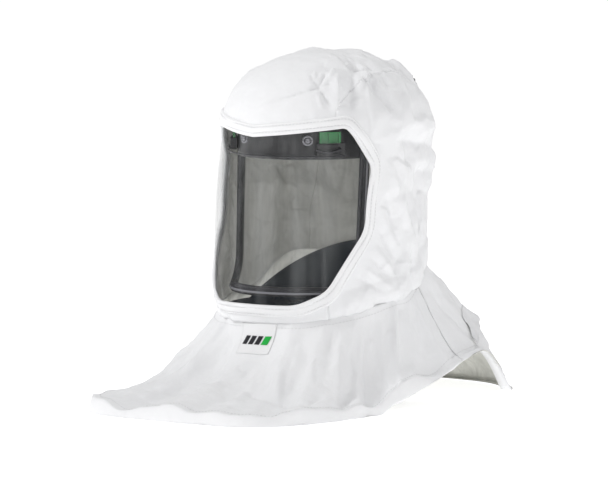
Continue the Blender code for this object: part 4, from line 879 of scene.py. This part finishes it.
def capeBase():
    fine = np.linspace(0, 2 * math.pi, 1441)[:-1]
    ahead = np.cos(fine) > 0
    hx, hy = planPoint(
        cape["halfWidth"], np.where(ahead, cape["front"], cape["rear"]),
        np.where(ahead, cape["frontPower"], cape["rearPower"]), fine,
    )
    hem = resampled(np.stack([hx, hy], 1), cape["columns"])
    neck = resampled(wallPoints(fine, seamHeight(fine)), cape["columns"])
    neck[:, 1] -= headY
    lift = hemLift(hem[:, 1])
    spread = np.minimum(1.0, np.linalg.norm(hem - neck[:, :2], axis=1) / (cape["rear"] - hoodShape["rear"]))
    behind = smoothStep(neck[:, 1] / hoodShape["seamRise"])
    turn = np.arange(cape["columns"]) / cape["columns"] * 2 * math.pi
    ripple = 0.76 + 0.15 * np.sin(9 * turn + 0.6) + 0.12 * np.sin(16 * turn + 2.0) + 0.07 * np.sin(29 * turn)
    side = smoothStep((hem[:, 1] + 0.06) / 0.10)
    edge = mixed(cape["hemHeight"], cape["rearHemHeight"], side) * ripple
    sag = mixed(mixed(1.15, cape["frontSag"], spread), cape["rearSag"], behind)
    start = neck.copy()
    start[:, :2] *= 0.985
    reach = np.linalg.norm(hem - start[:, :2], axis=1)
    lean = 1 - cape["hemLean"] * (0.6 + 0.8 * ripple) / reach
    shares = np.linspace(0, 1, 76)
    rows = []
    # the front hangs steeply under the lens before it runs out
    bib = smoothStep((np.cos(turn) - 0.90) / 0.09)
    for t in shares:
        plan = mixed(start[:, :2], hem, (t ** (1 + cape["bibDrop"] * bib * (1 - t)) * lean)[:, None])
        z = lift + edge + (neck[:, 2] - lift - edge) * (1 - t) ** sag
        rows.append(np.stack([plan[:, 0], plan[:, 1], z], 1))
    for share in (0.08, 0.2, 0.35, 0.5, 0.65, 0.8, 0.92, 1.0):
        plan = mixed(start[:, :2], hem, (lean + (1 - lean) * share ** 0.6)[:, None])
        rows.append(np.stack([plan[:, 0], plan[:, 1], lift + edge * (1 - share)], 1))
    for share in (0.5, 1.0):
        rows.append(np.stack([*grown(hem, -cape["turn"] * share).T, lift + 0.0004], 1))
    grid = np.array(rows)
    grid[..., 1] += headY
    steps = np.linalg.norm(np.diff(grid, axis=0), axis=2)
    down = np.concatenate([np.zeros((1, grid.shape[1])), np.cumsum(steps, 0)])
    along = np.concatenate([[0], np.cumsum(np.linalg.norm(np.diff(hem, axis=0), axis=1))])
    half = along[len(along) // 2]
    across = np.broadcast_to(np.where(along > half, along - 2 * half, along), down.shape)
    t = np.concatenate([shares, np.full(10, 1.0)])[:, None]
    return grid, down, across, t, turn, hem


def makeCape():
    grid, down, across, t, turn, hem = capeBase()
    normals = -gridNormals(grid, True)
    flat = np.stack([
        0.25 * np.broadcast_to(np.cos(turn), down.shape),
        0.25 * np.broadcast_to(np.sin(turn), down.shape),
        down * 0.6,
    ], -1)
    heights = np.zeros(down.shape)
    for name in ("broad", "fine", "small"):
        size, tilt, seed = cape[name]
        heights += facetHeights(flat, size, tilt, seed).reshape(heights.shape)
    heights += 0.0030 * np.sin(7 * turn + 1.3) * np.sin(math.pi * t)
    heights += foldHeights(across, down, cape["folds"])
    wall = np.arange(len(grid))[:, None] >= 76
    heights *= smoothStep(t / 0.10)
    heights = np.clip(np.where(wall, heights * 0.35, heights), -0.010, 0.011)
    heights[-2:] = 0
    nearLabel = smoothStep((0.085 - np.abs(across - 0.025)) / 0.03) * smoothStep((0.065 - down) / 0.02)
    heights *= 1 - 0.85 * nearLabel
    shaped = grid + normals * heights[..., None]
    shaped[..., 2] = np.maximum(shaped[..., 2], 0.0004)
    seam = next(i for i in range(cape["columns"]) if hem[i, 1] > cape["seamY"])
    column = np.arange(cape["columns"])
    front = (column < seam) | (column >= cape["columns"] - seam)
    region = np.broadcast_to(front, (len(shaped) - 1, cape["columns"]))
    for name, keep in (("frontCape", region), ("rearCape", ~region)):
        piece = gridPiece(name, shaped[::-1], finishes["hoodOutside"], True, keep[::-1].copy())
        # the inner face is grey painted shade
        piece.data.materials.append(finishes["hoodInsidePaintedShade"])
        thicken(piece, 0.0004, -1.0, 1)
        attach(piece, "hood")
    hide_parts("front_cape")
    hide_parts("rear_cape")
    for side, at in (("left", seam), ("right", cape["columns"] - seam)):
        ridge = shaped[2:75, at] + normals[2:75, at] * 0.0004
        strip = tubePiece(f"{side}SideSeam", ridge, 0.0009, finishes["binding"], 8, False, 0.5)
        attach(strip, "hood")
        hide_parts(f"{side}_seam_tape")
    for name, row in (("hemStitches", 71), ("neckStitches", 3)):
        ring = shaped[row] + normals[row] * 0.0002
        piece = stitchRow(name, np.vstack([ring, ring[:1]]), 0.0045, 0.00026)
        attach(piece, "hood")
    return shaped, normals, down


capeGrid, capeNormals, capeDown = makeCape()
print("cape draped")

# ---- label and the loose flap, both laid along the cape
def capeRow(down):
    # the cape's points and normals round it at one depth, and the distance from the front middle
    def atDepth(values):
        return np.array([
            [np.interp(down, capeDown[:, c], values[:, c, k]) for k in range(3)] for c in range(cape["columns"])
        ])

    spots, outward = atDepth(capeGrid), atDepth(capeNormals)
    half = cape["columns"] // 2
    spots, outward = np.roll(spots, half, 0), np.roll(outward, half, 0)
    along = np.concatenate([[0], np.cumsum(np.linalg.norm(np.diff(spots, axis=0), axis=1))])
    return spots, outward, along - along[half]


def capePatch(across, downs, offset):
    # points over the cape; across and downs in metres from the front middle of its neck seam
    rows = []
    for down in downs:
        spots, outward, along = capeRow(down)
        place = np.array([[np.interp(a, along, spots[:, k]) for k in range(3)] for a in across])
        out = np.array([[np.interp(a, along, outward[:, k]) for k in range(3)] for a in across])
        rows.append(place + out / np.linalg.norm(out, axis=1)[:, None] * offset)
    return np.array(rows)


label = {"across": 0.046, "tall": 0.040, "top": 0.003, "middle": 0.013}


def makeLabel():
    left = label["middle"] - label["across"] / 2
    across = np.linspace(left, left + label["across"], 25)
    down = np.linspace(label["top"], label["top"] + label["tall"], 21)
    patch = gridPiece("labelPatch", capePatch(across, down, 0.0007)[::-1], finishes["labelFilm"])
    thicken(patch, 0.0004)
    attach(patch, "hood")
    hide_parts("label_patch")
    # a plain mark: slanting bars of two colours
    marks = {
        "markDark": [(-0.0050, 0.0010), (0.0035, 0.0095), (0.0120, 0.0180)],
        "markGreen": [(0.0205, 0.0290)],
    }
    for finish, bars in marks.items():
        for number, (a0, a1) in enumerate(bars):
            rows = capePatch(np.linspace(a0, a1, 5), np.linspace(0.0190, 0.0300, 7), 0.0013)
            slant = capePatch(np.linspace(a0, a1, 5) + 0.0035, np.linspace(0.0190, 0.0300, 7), 0.0013)
            lean = np.linspace(1, 0, 7)[:, None, None]
            bar = (rows * (1 - lean) + slant * lean)[::-1]
            ink = gridPiece(f"{finish}{number + 1}", bar, finishes[finish])
            thicken(ink, 0.0003)
            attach(ink, "hood")


makeLabel()

flap = {"start": 0.098, "end": 0.004, "from": 0.088, "to": 0.116, "stand": 0.006}


def makeFlap():
    # a loose flap behind the shoulder, sewn along its top edge only
    reach = capeRow(0.07)[2][-1]
    across = np.linspace(reach - flap["start"], reach - flap["end"], 40)
    downs = np.linspace(flap["from"], flap["to"], 16)
    share = np.linspace(0, 1, 16)[:, None, None]
    sway = 1 + 0.25 * np.sin(np.linspace(0, 9, 40))[None, :, None]
    close, loose = capePatch(across, downs, 0.0008), capePatch(across, downs, flap["stand"])
    points = close + (loose - close) * share ** 1.4 * sway
    piece = gridPiece("rearFlap", points[::-1], finishes["hoodOutside"])
    # the inner face is grey painted shade
    piece.data.materials.append(finishes["hoodInsidePaintedShade"])
    thicken(piece, 0.0004, -1.0, 1)
    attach(piece, "hood")


makeFlap()
print("label and flap sewn on")

# ---- collar at the neck
collar = {
    "frontZ": 0.112, "rearZ": 0.182, "neckWidth": 0.060, "neckDepth": 0.066, "neckZ": 0.098, "tilt": 0.014,
    "pleats": 46,
}


def makeCollar():
    turns = np.linspace(0, 2 * math.pi, 369)[:-1]
    back = np.maximum(0.0, -np.cos(turns))
    outer = wallPoints(turns, mixed(collar["frontZ"], collar["rearZ"], back), 1.0, 0.0036)
    hx, hy = planPoint(collar["neckWidth"], collar["neckDepth"], 2.0, turns)
    hole = np.stack([hx, hy + headY, collar["neckZ"] + collar["tilt"] * (0.5 - 0.5 * np.cos(turns))], 1)
    rows = []
    for t in np.linspace(0, 1, 26):
        row = mixed(outer, hole, t)
        row[:, 2] -= 0.012 * math.sin(math.pi * t)
        gather = np.sin(collar["pleats"] * turns + 0.7 * np.sin(5 * turns))
        row[:, 2] += gather * 0.0016 * t ** 1.5 + 0.0020 * np.sin(11 * turns + 2 * t) * math.sin(math.pi * t)
        rows.append(row)
    piece = gridPiece("neckCollar", np.array(rows)[::-1], finishes["collarKnit"], True)
    thicken(piece, 0.0011)
    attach(piece, "hood")
    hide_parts("neck_collar")
    inward = np.stack([np.sin(turns), -np.cos(turns), 0 * turns], 1)
    ring = rows[-1] - inward * 0.0030
    radius = 0.0021
    elastic = tubePiece("neckElastic", ring, radius, finishes["collarKnit"], 10, True)
    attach(elastic, "hood")
    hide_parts("neck_elastic")


makeCollar()
print("collar made")

# ---- visor
visor = {
    "halfWidth": 0.0965, "depth": 0.1225, "rail": 0.0115, "thick": 0.0060,
    "top": 0.350, "bottom": 0.133, "topGirth": 0.138, "bottomGirth": 0.127,
    "topRadius": 0.016, "bottomRadius": 0.042, "browBottom": 0.2965,
}


def visorSection(z):
    return visor["halfWidth"], visor["depth"], 2.0


def onVisor(outline, offset):
    return bowPoints(outline[:, 0], outline[:, 1], offset, visorSection)


def visorOutline(count=300, inset=0.0, top=None):
    top = visor["top"] if top is None else top
    half = [
        (0.0, visor["bottom"] + inset, 0),
        (visor["bottomGirth"] - inset, visor["bottom"] + inset, visor["bottomRadius"] - inset),
        (visor["topGirth"] - inset, top - inset, max(0.002, visor["topRadius"] - inset)),
        (0.0, top - inset, 0),
    ]
    whole = half + [(-x, y, r) for x, y, r in reversed(half) if x > 0]
    made = []
    for i, (x, y, radius) in enumerate(whole):
        here = np.array([x, y])
        if radius <= 0:
            made.append(here)
            continue
        back = np.array(whole[i - 1][:2]) - here
        ahead = np.array(whole[(i + 1) % len(whole)][:2]) - here
        back, ahead = back / np.linalg.norm(back), ahead / np.linalg.norm(ahead)
        bend = math.acos(np.clip(back @ ahead, -1, 1)) / 2
        centre = here + (back + ahead) / np.linalg.norm(back + ahead) * radius / math.sin(bend)
        start = here + back * radius / math.tan(bend) - centre
        end = here + ahead * radius / math.tan(bend) - centre
        a0 = math.atan2(start[1], start[0])
        sweep = (math.atan2(end[1], end[0]) - a0 + math.pi) % (2 * math.pi) - math.pi
        for k in range(13):
            t = a0 + sweep * k / 12
            made.append(centre + radius * np.array([math.cos(t), math.sin(t)]))
    return resampled(made, count)


def railPiece(name, outline, shape, material, place):
    loops = [place(grown(outline, -inward), height) for inward, height in shape]
    return loopPiece(name, np.array(loops), material)


def makeVisor():
    outline = visorOutline()
    rail, thick = visor["rail"], visor["thick"]
    shape = [
        (0.0006, 0.0), (0.0, 0.0008), (0.0, thick - 0.0012), (0.0004, thick - 0.0003), (0.0014, thick),
        (0.0070, thick), (0.0078, thick - 0.0006), (0.0086, thick - 0.0006), (0.0094, thick),
        (rail - 0.0012, thick), (rail - 0.0003, thick - 0.0004), (rail, thick - 0.0014), (rail, 0.0008),
        (rail - 0.0006, 0.0),
    ]
    frameRail = railPiece("visorFrame", outline, shape, finishes["frameNylon"], onVisor)
    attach(frameRail, "hood")
    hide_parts("visor_frame")
    turns = np.linspace(0, 2 * math.pi, 12, endpoint=False)
    beadShape = [(0.0043 - 0.0013 * math.cos(t), thick + 0.0012 + 0.0009 * math.sin(t)) for t in turns]
    # the gasket bead is a real raised ring whose lighter grey is a painted highlight along the rail
    bead = railPiece("visorGasket", outline, beadShape, finishes["bead"], onVisor)
    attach(bead, "hood")
    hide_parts("visor_gasket")
    inset = visor["rail"] - 0.006
    pane = sheetPiece(
        "visorLens", visorOutline(120, inset, visor["browBottom"] + 0.004 + inset), onVisor, -0.0010, -0.0020,
        finishes["visorLens"], 14,
    )
    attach(pane, "hood")
    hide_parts("visor_lens")


makeVisor()
print("visor made")

# ---- moulded detail on the brow panel
brow = {
    "bosses": [(-0.020, 0.3205), (0.058, 0.3205)],
    "ribs": [(0.3395, 0.0012, 0.108), (0.3010, 0.0010, 0.100)],
    "lip": (0.067, 0.096, 0.3095), "slot": (0.070, 0.092, 0.3150), "level": 0.0088,
}


def makeBrow():
    level = brow["level"]
    turns = np.linspace(0, 2 * math.pi, 25)[:-1]
    pieces = []
    for number, (girth, z) in enumerate(brow["bosses"]):
        for part, radius, thick in (("Rim", 0.0050, 0.0011), ("Pin", 0.0016, 0.0017)):
            ring = np.stack([girth + radius * np.cos(turns), z + radius * np.sin(turns)], 1)
            name = f"browBoss{part}{number + 1}"
            pieces.append(tubePiece(name, onVisor(ring, level), thick, finishes["bead"], 8, True))
    for number, (z, thick, reach) in enumerate(brow["ribs"]):
        run = np.stack([np.linspace(-reach, reach, 61), np.full(61, z)], 1)
        name = f"browRib{number + 1}"
        pieces.append(tubePiece(name, onVisor(run, level), thick, finishes["frameNylon"], 8))
    for name, thick, finish in (("lip", 0.0016, "frameNylon"), ("slot", 0.0008, "rubber")):
        a0, a1, z = brow[name]
        share = np.linspace(0, 1, 25)
        sag = 0.0035 * np.sin(math.pi * share) * (name == "lip")
        run = np.stack([mixed(a0, a1, share), z - sag], 1)
        pieces.append(tubePiece(f"brow{name.capitalize()}", onVisor(run, level), thick, finishes[finish], 8))
    for piece in pieces:
        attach(piece, "hood")


makeBrow()
print("brow detail made")

# ---- the pads: knitted covers over foam, quilted across
pads = {
    "brow_pad": {"name": "browPad", "body": "harness", "pitch": 0.017, "puff": 0.0002, "axis": 0},
    "crown_pad": {"name": "crownPad", "body": "harness", "pitch": 0.015, "puff": 0.0012, "axis": 0},
    "nape_pad": {"name": "napePad", "body": "nape", "pitch": 0.016, "puff": 0.0012, "axis": 0},
}


def makePad(source, plan):
    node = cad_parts[source]
    mesh = bpy.data.meshes.new_from_object(node.evaluated_get(bpy.context.evaluated_depsgraph_get()))
    mesh.transform(node.matrix_world)
    rough = bpy.data.objects.new("padBlank", mesh)
    bpy.context.scene.collection.objects.link(rough)
    melt = rough.modifiers.new("melt", "REMESH")
    melt.mode = "VOXEL"
    melt.voxel_size = 0.0012
    ease = rough.modifiers.new("ease", "SMOOTH")
    ease.factor, ease.iterations = 0.5, 10
    bpy.context.view_layer.update()
    built = bpy.data.meshes.new_from_object(rough.evaluated_get(bpy.context.evaluated_depsgraph_get()))
    points = np.array([v.co[:] for v in built.vertices])
    normals = np.array([n.vector[:] for n in built.vertex_normals])
    faces = [tuple(face.vertices) for face in built.polygons]
    bpy.data.objects.remove(rough)
    bpy.data.meshes.remove(built)
    bpy.data.meshes.remove(mesh)
    across = points[:, plan["axis"]] / plan["pitch"]
    channel = np.abs((across + 0.5) % 1 - 0.5) * plan["pitch"]
    height = plan["puff"] * (1 - 1.6 * np.exp(-(channel / 0.0016) ** 2)) * 0.6
    height = np.minimum(height + facetHeights(points, 0.010, 0.05, 21) * 0.5, plan["puff"])
    piece = makePiece(plan["name"], points + normals * height[:, None], faces, finishes["padCloth"])
    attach(piece, plan["body"])
    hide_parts(source)


for source, plan in pads.items():
    makePad(source, plan)
print("pads quilted")

# ---- materials on the pieces that keep their engineering shape
keptFinish = {
    "nylon": ["headband", "front_crown_strap", "rear_crown_strap", "crown_bridge", "left_pivot_boss",
              "right_pivot_boss", "left_pivot_screw", "right_pivot_screw", "nape_cradle", "ratchet_housing",
              "ratchet_cover", "left_rack",
              "right_rack", "left_latch_pocket", "right_latch_pocket", "inlet_swivel", "brow_panel"],
    "ductNylon": ["duct_tray", "duct_cover", "air_diffuser", "air_vane", "inlet_plenum"],
    "rubber": ["inlet_cuff"],
    "green": ["left_latch_tab", "right_latch_tab", "release_button", "ratchet_knob"],
    "steel": ["frame_screw_1", "frame_screw_2", "frame_screw_3", "frame_screw_4",
              "left_cover_screw", "right_cover_screw",
              "ratchet_pinion"],
}
for finish, names in keptFinish.items():
    for name in names:
        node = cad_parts[name]
        for slot in node.material_slots:
            slot.material = finishes[finish]
print("finishes on kept pieces")

# ---- floor, light and camera
stage = {
    "floorSize": 60.0, "azimuth": 38.0, "elevation": 5.9, "distance": 12.0, "scale": 0.0012,
    "aim": (-0.0199, -0.0155 + headY, 0.1908),
}


def makeStage():
    size = stage["floorSize"]
    corners = [(-size, -size, 0), (size, -size, 0), (size, size, 0), (-size, size, 0)]
    floor = makePiece("studioFloor", corners, [(0, 1, 2, 3)])
    material, _, shader = newMaterial("studioWhite")
    shader.inputs["Base Color"].default_value = (0.90, 0.90, 0.90, 1)
    shader.inputs["Roughness"].default_value = 0.9
    shader.inputs["Specular IOR Level"].default_value = 0.1
    shader.inputs["Emission Color"].default_value = (1, 1, 1, 1)
    shader.inputs["Emission Strength"].default_value = 0.60
    floor.data.materials.append(material)
    floor.location.z = -0.0006

    world = bpy.data.worlds.new("studioWorld")
    bpy.context.scene.world = world
    world.use_nodes = True
    sky = world.node_tree
    soft = sky.nodes["Background"]
    soft.inputs["Color"].default_value = (1.0, 1.0, 1.0, 1)
    soft.inputs["Strength"].default_value = 0.46
    seen = addNode(sky, "ShaderNodeBackground", {"Color": (1.0, 1.0, 1.0, 1), "Strength": 1.0})
    pick = sky.nodes.new("ShaderNodeMixShader")
    sky.links.new(sky.nodes.new("ShaderNodeLightPath").outputs["Is Camera Ray"], pick.inputs[0])
    sky.links.new(soft.outputs[0], pick.inputs[1])
    sky.links.new(seen.outputs[0], pick.inputs[2])
    sky.links.new(pick.outputs[0], sky.nodes["World Output"].inputs["Surface"])
    for name, place, size, power in (
        ("keyLight", (-1.3, -1.6, 1.9), 0.9, 31),
        ("fillLight", (2.4, -0.6, 1.0), 1.4, 8),
        ("topLight", (0.4, 0.9, 2.4), 1.4, 10),
    ):
        lamp = bpy.data.lights.new(name, "AREA")
        lamp.size = size
        lamp.energy = power
        holder = bpy.data.objects.new(name, lamp)
        holder.location = place
        holder.visible_glossy = name != "keyLight"
        holder.rotation_euler = (Vector((0, 0, 0.2)) - Vector(place)).to_track_quat("-Z", "Y").to_euler()
        bpy.context.scene.collection.objects.link(holder)

    azimuth, elevation = math.radians(stage["azimuth"]), math.radians(stage["elevation"])
    level = math.cos(elevation)
    back = Vector((math.sin(azimuth) * level, -math.cos(azimuth) * level, math.sin(elevation)))
    eye = bpy.data.cameras.new("studioCamera")
    eye.sensor_width = 36
    eye.lens = 36 * stage["distance"] / (608 * stage["scale"])
    eye.clip_end = 200
    camera = bpy.data.objects.new("studioCamera", eye)
    camera.location = Vector(stage["aim"]) + back * stage["distance"]
    camera.rotation_euler = (-back).to_track_quat("-Z", "Y").to_euler()
    bpy.context.scene.collection.objects.link(camera)
    bpy.context.scene.camera = camera
    bpy.context.scene.view_settings.view_transform = "Standard"


makeStage()
print("stage set")
